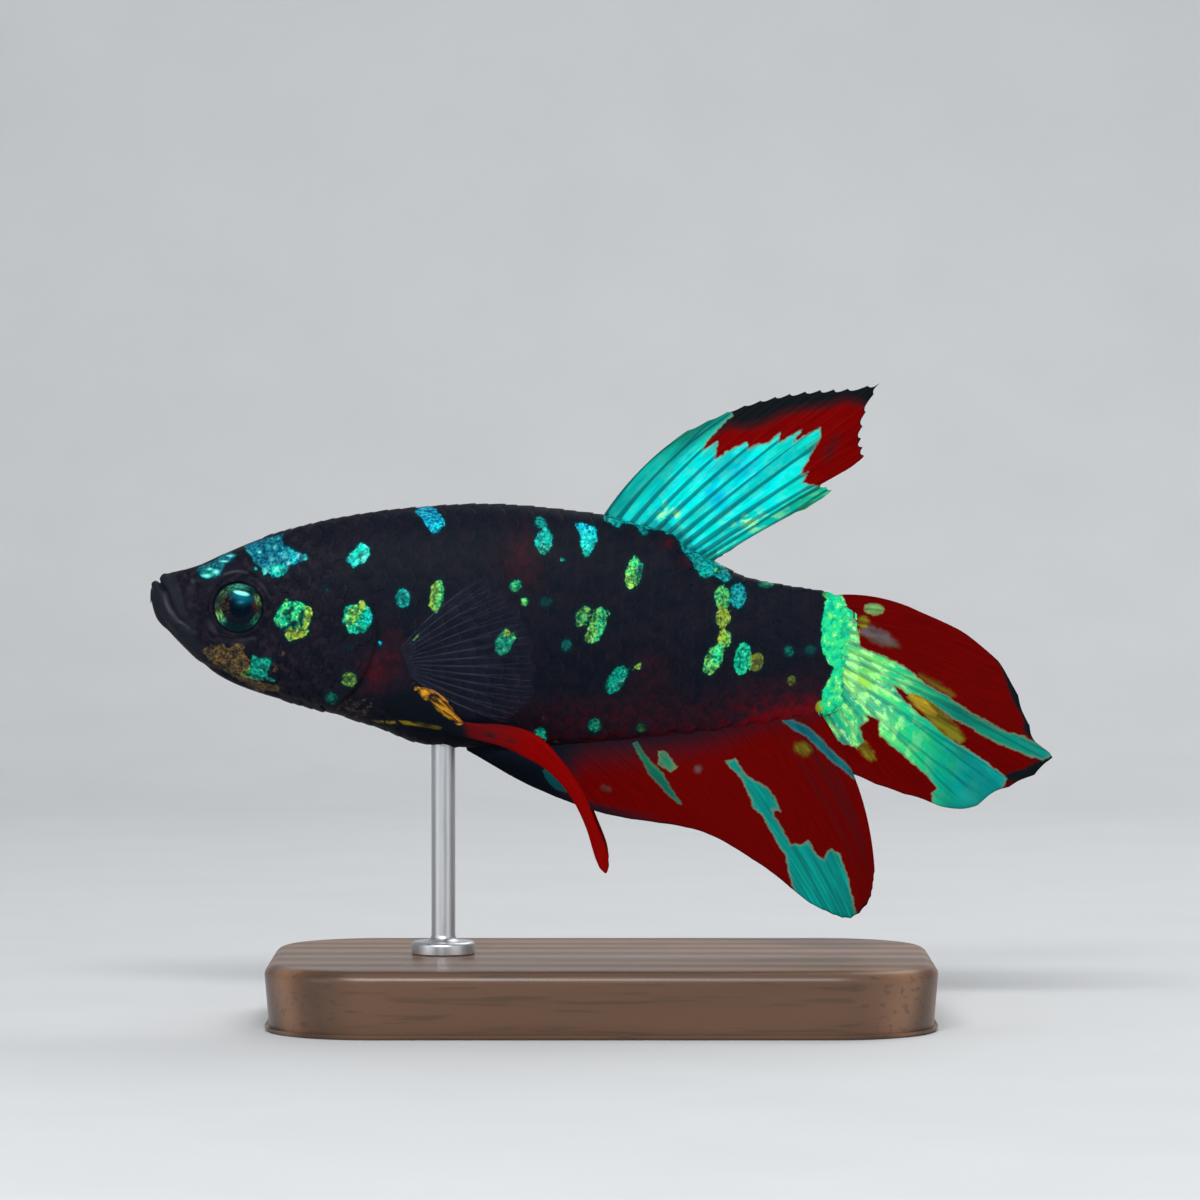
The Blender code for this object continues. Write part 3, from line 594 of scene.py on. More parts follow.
def strandsOf(tree):
    # fine lines that run down and back, for the gold streaks
    apart = tree.nodes.new("ShaderNodeSeparateXYZ")
    tree.links.new(objectPlace(tree), apart.inputs[0])
    x, z = apart.outputs["X"], apart.outputs["Z"]
    over, down = [mathOf(tree, "MULTIPLY_ADD", x, share, timesOf(tree, z, other))
                  for share, other in ((5400, 6500), (600, -500))]
    return noiseOf(tree, 1.0, flowOf(tree, over, down), detail=2)


def strandGaps(tree):
    # the dark gaps between the strands of a gold streak
    return stepOf(tree, strandsOf(tree), 0.48, 0.4, 0, 0.9)


def shineOf(tree, jitter):
    # the marks' colour, with their hue shifted a little by jitter
    hue = attributeOf(tree, "hue")
    amount = stepOf(tree, hue, 0.68, 0.84, 1.0, 0.2)
    return rampOf(tree, mathOf(tree, "MULTIPLY_ADD", jitter, amount, hue), shineStops)


def darkSkin(tree, grain, scaly):
    slate, red = attributeOf(tree, "slate"), attributeOf(tree, "red")
    mottle = noiseOf(tree, 900, detail=4)
    patches = noiseOf(tree, 1300, detail=2)
    veins = noiseOf(tree, 1500, detail=5, roughness=0.65)
    # the red is mottled where it is thin, and even where it is full
    mottled = mathOf(tree, "MAXIMUM", stepOf(tree, veins, 0.42, 0.6, 0.3, 1), stepOf(tree, red, 0.6, 0.95))
    dark = mixOf(tree, slate, (0.0021, 0.0043, 0.0092), (0.0026, 0.0036, 0.0078))
    dark = layered(
        tree, dark,
        (stepOf(tree, mottle, 0.35, 0.7), (0.0062, 0.0058, 0.0112)),
        (timesOf(tree, slate, stepOf(tree, patches, 0.5, 0.68, 0, 0.55)), (0.021, 0.016, 0.025)),
        (timesOf(tree, slate, stepOf(tree, veins, 0.54, 0.68, 0, 0.6)), (0.026, 0.011, 0.018)),
        (timesOf(tree, red, mottled), (0.12, 0.0, 0.002)),
        (attributeOf(tree, "lip"), (0.012, 0.0135, 0.0205)),
        (stepOf(tree, grain, 0.35, 0.75, 0, 0.3), (0.012, 0.014, 0.023)),
        # painted highlights on the head's folds and lips, and the nostril's pale spot
        (attributeOf(tree, "sheen"), (0.08, 0.08, 0.105)))
    if scaly:
        rim = stepOf(tree, attributeOf(tree, "rim"), 0.55, 1.0, 0, 0.4)
        dark = mixOf(tree, rim, dark, (0.012, 0.013, 0.021))
    return dark


def skinShine(tree, tone, cool):
    # the marks' lumps, hollows and cracks; cool is 1 on the blue and green ones
    hue, calm = attributeOf(tree, "hue"), attributeOf(tree, "calm")
    lumpTone, lumpReach = cellsOf(tree, 2000, "Color"), cellsOf(tree, 2000)
    # a mark's bright flecks are greener than its hollows
    jitter = mathOf(tree, "MULTIPLY_ADD", centred(tree, lumpTone), 0.08,
                    timesOf(tree, centred(tree, tone), 0.5))
    hollow = mixOf(tree, calm, stepOf(tree, tone, 0.54, 0.38, 0, 0.75),
                   stepOf(tree, tone, 0.5, 0.35, 0, 0.35))
    crack = timesOf(tree, stepOf(tree, lumpReach, 0.45, 0.75, 0, 0.7), stepOf(tree, hue, 0.3, 0.5, 0.4, 1))
    crack = timesOf(tree, crack, stepOf(tree, calm, 0, 1, 1, 0.15))
    sparkle = mixOf(tree, stepOf(tree, hue, 0.4, 0.6), (0.2, 1.0, 0.95), (0.5, 1.0, 0.4))
    gold = timesOf(tree, stepOf(tree, hue, 0.87, 0.88), stepOf(tree, hue, 0.905, 0.915, 1, 0))
    dim = mixOf(tree, cool, (0.014, 0.009, 0.006), (0.003, 0.01, 0.014))
    return layered(
        tree, shineOf(tree, jitter),
        (timesOf(tree, hollow, cool), (0.0, 0.03, 0.03)),
        (crack, (0.002, 0.02, 0.024)),
        (timesOf(tree, stepOf(tree, tone, 0.58, 0.68, 0, 0.7), cool), sparkle),
        (timesOf(tree, gold, strandGaps(tree)), (0.012, 0.007, 0.005)),
        (restOf(tree, attributeOf(tree, "bright")), dim),
        # painted glints on the crown's marks
        (timesOf(tree, attributeOf(tree, "fleck"), 0.85), (0.22, 0.95, 0.85)))


def fishSkin(name, scaly):
    material, tree, shader = newMaterial(name, 0.5, Specular_IOR_Level=0.04)
    grain = noiseOf(tree, 5200, detail=3, roughness=0.6)
    edge = noiseOf(tree, 2600, detail=3, roughness=0.6)
    tone = mixOf(tree, attributeOf(tree, "calm"), noiseOf(tree, 4200, detail=3, roughness=0.65),
                 noiseOf(tree, 1700, detail=3, roughness=0.6))
    hue = attributeOf(tree, "hue")
    cool = stepOf(tree, hue, 0.8, 0.88, 1, 0)
    dusty = stepOf(tree, hue, 0.91, 0.935)
    wander = stepOf(tree, mathOf(tree, "MAXIMUM", cool, dusty), 0, 1, 0.12, 0.42)
    depth = mathOf(tree, "MULTIPLY_ADD", centred(tree, edge), wander, attributeOf(tree, "mark"))
    dust = mixOf(tree, dusty, (1, 1, 1), stepOf(tree, grain, 0.42, 0.62, 0.25, 1))
    mask = timesOf(tree, stepOf(tree, depth, -0.04, 0.08), dust)
    halo = timesOf(tree, stepOf(tree, depth, -0.28, 0.0, 0, 0.7), cool)
    colour = layered(tree, darkSkin(tree, grain, scaly), (halo, (0.0, 0.016, 0.022)),
                     (mask, skinShine(tree, tone, cool)))
    relief = mathOf(tree, "MULTIPLY_ADD", grain, 0.6, timesOf(tree, mask, tone))
    dress(tree, shader, colour, bumpOf(tree, relief, 0.04, 0.5), stepOf(tree, mask, 0, 1, 0.52, 0.42))
    return material


def finMaterial(name, reds, rayDark, fleck, gilt=False):
    # reds are the membrane's dark and light red, rayDark and fleck how strong a mark's dark rays and pale
    # bands are; gilt draws the warm marks as fine gold strands
    material, tree, shader = newMaterial(name, 0.55, Specular_IOR_Level=0.02)
    ray, hue, bright = [attributeOf(tree, field) for field in ("ray", "hue", "bright")]
    flow = flowOf(tree, attributeOf(tree, "rayShare"), attributeOf(tree, "rayLength"))
    fibres = noiseOf(tree, 1.0, flow, detail=4, stretch=(9, 0.35, 1))
    blotch = noiseOf(tree, 1.0, flow, detail=3, stretch=(1.7, 0.5, 1))
    bands = noiseOf(tree, 1.0, flow, detail=3, roughness=0.6, stretch=(1.6, 0.9, 1))
    shade = noiseOf(tree, 1.0, flow, detail=2, stretch=(1.1, 0.16, 3))
    edge = noiseOf(tree, 2000, detail=4, roughness=0.65)
    grain = noiseOf(tree, 6500, detail=2)
    red = mixOf(tree, stepOf(tree, fibres, 0.3, 0.7), *reds)
    red = mixOf(tree, timesOf(tree, ray, 0.12), red, reds[0])
    web = layered(tree, (0.0035, 0.006, 0.0115), (attributeOf(tree, "red"), red),
                  # the fins' dark bands and edges, and painted shade along their folds
                  (attributeOf(tree, "ink"), (0.004, 0.006, 0.008)))
    cool = stepOf(tree, hue, 0.79, 0.83, 1, 0)
    wander = stepOf(tree, cool, 0, 1, 0.14 if gilt else 0.6, 0.44)
    blur = stepOf(tree, cool, 0, 1, 0.07 if gilt else 0.24, 0.07)
    depth = mathOf(tree, "MULTIPLY_ADD", centred(tree, edge), wander, attributeOf(tree, "mark"))
    mask = stepOf(tree, depth, timesOf(tree, blur, -1.0), blur)

    def coolShare(value):
        return timesOf(tree, value, cool)

    if gilt:
        gaps = timesOf(tree, stepOf(tree, hue, 0.87, 0.88), strandGaps(tree)), (0.012, 0.007, 0.005)
    else:
        warm = timesOf(tree, restOf(tree, cool), blotch)
        gaps = stepOf(tree, warm, 0.4, 0.62, 0, 0.6), (0.05, 0.04, 0.01)
    pale = timesOf(tree, attributeOf(tree, "pale"), stepOf(tree, bands, 0.46, 0.62, 0, fleck))
    fringe = timesOf(tree, restOf(tree, stepOf(tree, depth, 0.04, 0.22)),
                     stepOf(tree, bright, 0.1, 0.25, 0, 0.5))
    rayShade = mixOf(tree, cool, (0.2, 0.1, 0.01), (0.0, 0.1, 0.12))
    dim = mixOf(tree, cool, (0.03, 0.012, 0.004), (0.003, 0.026, 0.03))
    shine = layered(
        tree, shineOf(tree, timesOf(tree, centred(tree, blotch), 0.24)),
        (coolShare(stepOf(tree, shade, 0.58, 0.4, 0, 0.6)), (0.0, 0.3, 0.28)),
        (coolShare(stepOf(tree, fibres, 0.5, 0.3, 0, 0.35)), (0.0, 0.24, 0.23)),
        (coolShare(pale), (0.38, 1.0, 0.3)),
        (stepOf(tree, ray, 0.03, 0.6, 0, rayDark), rayShade),
        gaps,
        (restOf(tree, bright), dim),
        (coolShare(fringe), (0.18, 0.17, 0.09)))
    relief = mathOf(tree, "MULTIPLY_ADD", grain, 0.4, fibres)
    dress(tree, shader, mixOf(tree, mask, web, shine), bumpOf(tree, relief, 0.04, 0.3))
    return material


# The head's relief, as lines on its side: (line, width, height), with grooves below 0
headRelief = {
    "lines": (
        (((0.3, 1.15), (0.7, 0.57), (1.15, 0.01), (1.59, -1.11), (1.91, -1.91), (2.63, -2.47)), 0.11, -0.4),
        (((0.55, 1.5), (1.2, 0.85), (1.62, 0.1), (2.05, -0.95), (2.35, -1.6), (2.9, -2.2)), 0.25, 0.16),
        (((0.0, 0.7), (0.45, 0.25), (0.8, -0.3), (1.15, -1.2), (1.5, -2.1), (2.3, -2.85)), 0.24, 0.17),
        (((0.45, -1.1), (0.6, -1.5), (0.85, -2.1), (1.3, -2.8), (2.2, -3.5)), 0.16, -0.1),
        (((1.83, 1.6), (2.39, 0.01), (2.63, -1.11), (3.03, -1.91)), 0.16, -0.08),
        (((2.2, 1.5), (2.75, 0.0), (2.95, -1.1), (3.3, -1.9)), 0.24, 0.05),
        (((2.63, 1.7), (3.19, 0.0), (3.35, -1.11), (3.67, -2.15)), 0.17, -0.09),
        (((2.2, -2.5), (3.0, -2.85), (3.8, -3.1)), 0.16, -0.08),
        (((2.2, -2.8), (3.0, -3.15), (3.9, -3.45)), 0.22, 0.08),
        (((3.7, -2.2), (4.0, -2.55), (4.8, -3.52), (6.0, -3.6), (7.2, -3.6), (8.16, -3.2)), 0.14, -0.15),
        (((4.3, -3.2), (5.0, -3.95), (6.2, -4.05), (7.5, -3.95)), 0.25, 0.06),
        (((5.0, 0.9), (5.52, 1.14), (6.0, 1.42), (6.8, 1.54), (7.44, 1.3), (8.3, 0.7)), 0.14, -0.14),
        (((10.2, -1.2), (10.8, -2.6), (10.95, -4.0), (10.9, -5.0), (10.35, -6.1), (9.6, -7.0), (8.2, -7.6)),
         0.16, -0.14),
        (((10.5, -1.2), (11.15, -2.6), (11.3, -4.0), (11.2, -5.2), (10.7, -6.4), (9.9, -7.3)), 0.3, 0.08),
        (((12.4, 0.6), (13.2, -1.6), (13.4, -4.0), (12.7, -6.2), (11.6, -7.9)), 0.22, -0.07),
        (((3.2, -5.3), (5.5, -6.2), (8.0, -7.3), (11.0, -8.2), (13.6, -9.0)), 0.18, -0.12),
        (((9.0, 0.4), (10.4, 0.6), (11.8, 0.2), (13.0, 0.6)), 0.2, -0.06),
    ),
    "pits": ((3.2, 0.72, 0.2, 0.2), (3.2, 0.72, 0.09, -0.25), (2.86, 1.3, 0.16, -0.16),
             (3.6, 0.5, 0.15, -0.12)),
    "eye": (6.75, -1.24),
    "eyeRadius": 1.87,
    "gillEdge": ((12.3, 9.0), (12.9, 4.6), (14.5, 1.6), (16.5, -0.7), (17.2, -2.8),
                 (16.7, -5.2), (15.5, -7.3), (13.8, -9.3), (12.6, -13.0)),
}


def fromLine(a, h, line, samples=28):
    # distance from a smooth line, share along it, and how far behind it (negative in front)
    points = lineThrough(line, np.linspace(0, 1, samples))
    nearest = np.full(a.shape, 1e9)
    share, behind = np.zeros(a.shape), np.zeros(a.shape)
    for i in range(samples - 1):
        start, run = points[i], points[i + 1] - points[i]
        t = np.clip(((a - start[0]) * run[0] + (h - start[1]) * run[1]) / (run @ run), 0, 1)
        da, dh = a - start[0] - t * run[0], h - start[1] - t * run[1]
        far = da * da + dh * dh
        closer = far < nearest
        nearest = np.where(closer, far, nearest)
        share = np.where(closer, (i + t) / (samples - 1), share)
        behind = np.where(closer, np.sign(dh * run[0] - da * run[1]), behind)
    nearest = np.sqrt(nearest)
    return nearest, share, behind * nearest


def reliefAt(along, high):
    shape = along.shape
    along, high = along.ravel(), high.ravel()
    raised = np.zeros(along.shape)
    front = np.flatnonzero(along < 19)
    a, h = along[front], high[front]
    here = np.zeros(a.shape)
    for line, width, height in headRelief["lines"]:
        distance, share, _ = fromLine(a, h, line)
        here += height * bump(distance, width) * softStep(share, 0, 0.12) * softStep(1 - share, 0, 0.12)
    for pitAlong, pitHigh, width, height in headRelief["pits"]:
        here += height * bump(np.hypot(a - pitAlong, h - pitHigh), width)
    fromEye = np.hypot(a - headRelief["eye"][0], h - headRelief["eye"][1])
    radius = headRelief["eyeRadius"]
    here += 0.16 * bump(fromEye - radius - 0.2, 0.17) - 0.07 * bump(fromEye - radius - 0.62, 0.2)
    here -= 1.1 * (1 - softStep(fromEye, radius - 0.22, radius + 0.02))
    _, _, behind = fromLine(a, h, headRelief["gillEdge"])
    lid = np.where(behind < 0, np.exp(behind / 1.5), -0.9 * np.exp(-behind / 0.5))
    lid = np.where(np.abs(behind) < 0.1, np.interp(behind, (-0.1, 0.1), (0.93, -0.74)), lid)
    lidHeight = 0.06 + 0.12 * (1 - softStep(h, -2.5, 0.5))
    here += lidHeight * lid * (1 - softStep(h, 0, 2)) * softStep(h, -9.6, -8.2)
    raised[front] = here
    return raised.reshape(shape)


skinSheet = {
    "around": 224,
    "snoutEnd": 0.55, "snoutStep": 0.012, "snoutGrowth": 0.12,     # the stations are closest at the snout
    "headEnd": 12, "headStep": 0.078,
    "trunkSteps": ((12, 20), (0.09, 0.175)),
    "headInset": 0.08, "trunkInset": 0.18, "scalesFrom": (8.0, 12.5),
}


def skinStations():
    along, stations = 0.0, []
    while along < fishBody["length"]:
        stations.append(along)
        if along < skinSheet["snoutEnd"]:
            along += skinSheet["snoutStep"] + skinSheet["snoutGrowth"] * along
        elif along < skinSheet["headEnd"]:
            along += skinSheet["headStep"]
        else:
            along += np.interp(along, *skinSheet["trunkSteps"])
    return np.array(stations + [fishBody["length"]])


def skinGrid(stations, angles, inset):
    # (along, high, across) of the smooth body, drawn in by inset
    along, angle = np.meshgrid(stations, angles, indexing="ij")
    middle = smoothThrough(fishBody["widestAt"], along)
    edge, fullness = edgeAt(along, np.sin(angle) > 0)
    power = 2 / fullness
    width = smoothThrough(fishBody["halfWidth"], along) - inset
    reach = np.maximum(np.abs(edge - middle) - inset, 0.02)
    across = np.sign(np.cos(angle)) * np.abs(np.cos(angle)) ** power * width
    high = middle + np.sign(np.sin(angle)) * np.abs(np.sin(angle)) ** power * reach
    return np.stack([along, high, across], -1)


def insetAt(along):
    return (skinSheet["headInset"] + (skinSheet["trunkInset"] - skinSheet["headInset"])
            * softStep(along, *skinSheet["scalesFrom"]))


def bellyRed(along, high):
    # how far the red of the fins has come up over the belly at a place
    start = smoothThrough(((22, -12.8), (32.5, -10.8), (37.6, -10.5), (42.8, -9.5), (46.6, -8.3), (53, -7.4)),
                          along)
    full = smoothThrough(((22, -16.5), (32.5, -14.6), (37.6, -14.1), (42.8, -13.1), (46.6, -11.5),
                          (53, -10.2)),
                         along)
    return softStep((start - high) / (start - full), 0, 1)


# painted highlights where the head's folds and lip edges catch the light, and the nostril's pale purple-grey
# spot: (line, width, strength)
headSheen = ((((1.1, -0.1), (1.32, -0.95), (1.66, -1.65), (2.14, -2.2), (3.0, -2.8)), 0.1, 0.75),
             (((5.4, 1.22), (5.96, 1.4), (6.63, 1.52), (7.45, 1.42)), 0.09, 0.5),
             (((4.55, -2.3), (4.7, -2.6), (5.05, -3.1)), 0.25, 0.22),
             (((5.5, -3.3), (6.9, -3.62), (7.9, -3.5)), 0.1, 0.3),
             (((3.2, 0.66), (3.28, 0.74)), 0.16, 0.6),
             (((7.9, 1.0), (8.6, 0.4), (9.0, -0.4)), 0.14, 0.12))


# painted glints on the crown's marks, where their brightest spots catch the light: (along, high, length,
# height)
headGlints = ((4.3, 1.12, 0.28, 0.1), (5.05, 1.42, 0.2, 0.14), (4.52, 1.62, 0.16, 0.08),
              (5.6, 2.2, 0.3, 0.06),
              (6.05, 2.6, 0.2, 0.06), (8.74, 1.42, 0.09, 0.22), (9.25, 2.4, 0.12, 0.1),
              (9.62, 1.62, 0.2, 0.12),
              (10.2, 2.65, 0.13, 0.12), (8.3, 2.9, 0.12, 0.08), (11.25, 2.62, 0.16, 0.1),
              (11.8, 2.5, 0.14, 0.09),
              (10.55, 2.1, 0.12, 0.12), (9.4, 3.3, 0.1, 0.08), (16.2, 2.6, 0.12, 0.26),
              (15.6, 2.2, 0.16, 0.1))


def coatFields(along, high, across):
    # what the skin and the scales are coloured by; the far side's spots lie a little differently
    far = (across > 0) * softStep(along, 12, 20)
    a = along + far * 0.9 * np.sin(0.8 * high + 1)
    h = high + far * 0.8 * np.sin(0.6 * along)
    mark, hue, bright = markFields(headMarks + flankMarks, a, h)
    under = bellyRed(along, high - 0.5) + 0.22 * softStep(-high, 7.0, 10.0) * softStep(along, 25, 31)
    tail = softStep(along, 41, 47) * softStep(-high, 5.5, 9.0)
    gill = (0.33 * bump(np.hypot((along - 16.9) / 1.1, (high + 6.3) / 1.3), 1)
            + 0.16 * bump(np.hypot((along - 18.3) / 0.8, (high + 3.8) / 1.2), 1)
            + 0.22 * bump(np.hypot((along - 18.0) / 1.1, (high + 5.4) / 1.2), 1))
    faint = (0.22 * bump(np.hypot(along - 28, (high - 2.4) / 1.6), 1.3)
             + 0.15 * bump(np.hypot(along - 37.5, (high + 6.5) / 1.5), 1.5)
             + 0.45 * bump(np.hypot(along - 39.0, high - 3.7), 0.5)
             + 0.4 * bump(np.hypot(along - 40.2, high - 2.2), 0.4))
    red = np.clip(under + 0.3 * tail + gill + faint, 0, 1)
    slate = 1 - softStep(along, 9, 19)
    lip = softStep(2.9 - along - 0.35 * high, 0.2, 1.0)
    calm = softStep(along, 48.6, 50.2)
    front = along < 10
    # sheen: the painted highlights of headSheen, and the nostril's pale spot
    sheen = np.zeros(along.shape)
    for line, width, strength in headSheen:
        distance, share, _ = fromLine(along[front], high[front], line)
        sheen[front] += strength * bump(distance, width) * (0.4 + 0.6 * np.sin(np.pi * share))
    # fleck: painted glints on the crown's marks, from headGlints
    fleck = np.zeros(along.shape)
    for glintAlong, glintHigh, long, tall in headGlints:
        fleck += bump(np.hypot((a - glintAlong) / long, (h - glintHigh) / tall), 1.0)
    return {"sheen": sheen, "fleck": np.clip(fleck, 0, 1), "mark": mark, "hue": hue, "bright": bright,
            "red": red, "slate": slate, "lip": 0.8 * lip, "calm": calm}


def buildSkin(material):
    stations = skinStations()
    angles = np.linspace(0, 2 * np.pi, skinSheet["around"], endpoint=False)
    along, high, across = np.moveaxis(skinGrid(stations, angles, insetAt(stations)[:, None]), -1, 0)
    base = np.stack([along, across, high], -1)
    ahead = np.gradient(base, stations, axis=0)
    around = np.roll(base, -1, 1) - np.roll(base, 1, 1)
    out = np.cross(around, ahead)
    out /= np.linalg.norm(out, axis=2, keepdims=True) + 1e-12
    raised = base + out * reliefAt(along, high)[..., None]
    rows = len(stations)
    points = inWorld(raised[..., 0], raised[..., 2], raised[..., 1]).reshape(-1, 3)
    ends = [points[:skinSheet["around"]].mean(0), points[-skinSheet["around"]:].mean(0)]
    faces = gridFaces(rows, skinSheet["around"], closed=True)
    for k in range(skinSheet["around"]):
        after = (k + 1) % skinSheet["around"]
        faces.append([after, k, len(points)])
        last = (rows - 1) * skinSheet["around"]
        faces.append([last + k, last + after, len(points) + 1])
    fields = coatFields(along, high, across)
    fields = {name: np.concatenate([values.ravel(), values[[0, -1], 0]]) for name, values in fields.items()}
    skin = makePiece("skin", np.concatenate([points, ends]), faces, material, fields)
    print("skin:", rows, "stations,", len(faces), "faces")
    return skin


# Scales: rounded plates laid in staggered rows, their free edges towards the tail
scaleCoat = {
    "rowsAround": 24,
    "pitch": ((8.4, 0.62), (12.0, 0.82), (18.0, 1.1), (38.0, 1.1), (44.0, 0.95), (51.5, 0.7)),
    "overlap": 1.55,         # a plate's length, in pitches
    "width": 1.14,           # a plate's width, in rows
    "thickness": 0.05,
    "rise": 0.12,            # how far the free edge stands off the skin
    "seed": 5,
}


def scalePlate():
    # one closed plate, 1 x 1 in size, with its root at the origin: lift is its height off the skin
    long, wide = 5, 5
    points, lift, rim = [], [], []
    for face in (1, -1):
        for i in range(long + 1):
            x = i / long
            half = 0.5 * math.sqrt(max(0.0, 1 - (2 * x - 1) ** 2 * 0.999)) ** 0.55
            for j in range(wide + 1):
                y = 2 * j / wide - 1
                edge = min(1, 4 * (1 - abs(y)), 5 * x + 0.001, 5 * (1 - x))
                points.append((x, half * y, 0))
                lift.append(scaleCoat["rise"] * x ** 0.8 + face * scaleCoat["thickness"] * 0.5 * edge)
                rim.append(max(x ** 3, x * y ** 4))
    count = (long + 1) * (wide + 1)
    top = gridFaces(long + 1, wide + 1)
    bottom = [[count + k for k in reversed(face)] for face in top]
    mesh = bpy.data.meshes.new("scalePlate")
    mesh.from_pydata(points, [], top + bottom)
    setFields(mesh, {"lift": lift, "rim": rim, "plateX": [p[0] for p in points],
                     "plateY": [p[1] for p in points]})
    work = bmesh.new()
    work.from_mesh(mesh)
    bmesh.ops.remove_doubles(work, verts=[v for v in work.verts if v.is_boundary], dist=1e-4)
    work.to_mesh(mesh)
    work.free()
    return addObject("scalePlate", mesh)


def scaleRoots():
    # a root for each scale: its place on the skin, which way it lies, its size and its place unwrapped
    along, rows, column = scaleCoat["pitch"][0][0], [], 0
    knots = scaleCoat["pitch"]
    random = np.random.default_rng(scaleCoat["seed"])
    angles = np.linspace(0, 2 * np.pi, 721)
    while along < knots[-1][0]:
        pitch = float(np.interp(along, *zip(*knots)))
        stations = np.array((along, along + 0.05))
        ring = skinGrid(stations, angles, insetAt(stations)[:, None])
        girth = np.concatenate([[0], np.cumsum(np.linalg.norm(np.diff(ring[0], axis=0), axis=1))])
        count = scaleCoat["rowsAround"]
        shares = (np.arange(count) + 0.5 * (column % 2)) / count
        starts = np.interp(np.pi / 2, angles, girth) + shares * girth[-1]   # the first is on the back
        for start in starts % girth[-1]:
            place = [np.array([np.interp(start, girth, ring[k][:, axis]) for axis in range(3)])
                     for k in (0, 1)]
            beside = np.array([np.interp((start + 0.1) % girth[-1], girth, ring[0][:, axis])
                               for axis in range(3)])
            a, h, c = place[0]
            _, _, behind = fromLine(np.array([a]), np.array([h]), headRelief["gillEdge"])
            fromEye = math.hypot(a - headRelief["eye"][0], h - headRelief["eye"][1])
            underGill = h < 2.2 and -0.75 - pitch < behind[0] < 0.05
            if underGill or fromEye < 3.0 or (h < 0 and a < 9.6):
                continue
            lie = place[1] - place[0]
            out = np.cross(beside[[0, 2, 1]] - place[0][[0, 2, 1]], lie[[0, 2, 1]])
            out /= np.linalg.norm(out)
            lie = lie[[0, 2, 1]] + (0, random.normal(0, 0.001), random.normal(0, 0.0015))
            jitter = random.normal(1, 0.03, 2)
            size = (pitch * scaleCoat["overlap"] * jitter[0],
                    girth[-1] / count * scaleCoat["width"] * jitter[1], 1.0)
            rows.append((a, h, c, *lie, *out, *size, start / girth[-1], a / fishBody["length"]))
        along += pitch
        column += 1
    return np.array(rows)


def scaleTree(material):
    tree = bpy.data.node_groups.new("scaleCoat", "GeometryNodeTree")
    sockets = {}
    for name, kind in (("Geometry", "NodeSocketGeometry"), ("Plate", "NodeSocketObject"),
                       ("Skin", "NodeSocketObject"), ("Millimetre", "NodeSocketFloat")):
        sockets[name] = tree.interface.new_socket(name, in_out="INPUT", socket_type=kind).identifier
    tree.interface.new_socket("Geometry", in_out="OUTPUT", socket_type="NodeSocketGeometry")
    start, end = tree.nodes.new("NodeGroupInput"), tree.nodes.new("NodeGroupOutput")

    def add(kind, inputs=None, **settings):
        made = tree.nodes.new(kind)
        for name, value in settings.items():
            setattr(made, name, value)
        for name, value in (inputs or {}).items():
            socketOf(tree, made.inputs[name], value)
        return made

    def named(kind, name):
        return add("GeometryNodeInputNamedAttribute", {"Name": name}, data_type=kind).outputs["Attribute"]

    plate = add("GeometryNodeObjectInfo", {"Object": start.outputs["Plate"]}).outputs["Geometry"]
    skin = add("GeometryNodeObjectInfo", {"Object": start.outputs["Skin"]}).outputs["Geometry"]
    turn = add("FunctionNodeAxesToRotation", {0: named("FLOAT_VECTOR", "out"),
                                              1: named("FLOAT_VECTOR", "lie")},
               primary_axis="Z", secondary_axis="X").outputs[0]
    size = add("ShaderNodeVectorMath", {0: named("FLOAT_VECTOR", "size"),
                                        "Scale": start.outputs["Millimetre"]},
               operation="SCALE").outputs[0]
    laid = add("GeometryNodeInstanceOnPoints", {"Points": start.outputs["Geometry"], "Instance": plate,
                                                "Rotation": turn, "Scale": size}).outputs[0]
    solid = add("GeometryNodeRealizeInstances", {"Geometry": laid}).outputs[0]
    nearest = add("GeometryNodeProximity", {0: skin}, target_element="FACES").outputs["Position"]
    normal = tree.nodes.new("GeometryNodeInputNormal").outputs[0]
    out = add("GeometryNodeSampleNearestSurface", {"Mesh": skin, "Value": normal},
              data_type="FLOAT_VECTOR").outputs["Value"]
    height = add("ShaderNodeMath", {0: named("FLOAT", "lift"), 1: start.outputs["Millimetre"]},
                 operation="MULTIPLY").outputs[0]
    off = add("ShaderNodeVectorMath", {0: out, "Scale": height}, operation="SCALE").outputs[0]
    spot = add("ShaderNodeVectorMath", {0: nearest, 1: off}, operation="ADD").outputs[0]
    wrapped = add("GeometryNodeSetPosition", {"Geometry": solid, "Position": spot}).outputs[0]
    done = add("GeometryNodeSetMaterial", {"Geometry": wrapped, "Material": material}).outputs[0]
    tree.links.new(done, end.inputs[0])
    return tree, sockets


def fieldOf(mesh, name):
    values = np.zeros(len(mesh.vertices), np.float32)
    mesh.attributes[name].data.foreach_get("value", values)
    return values


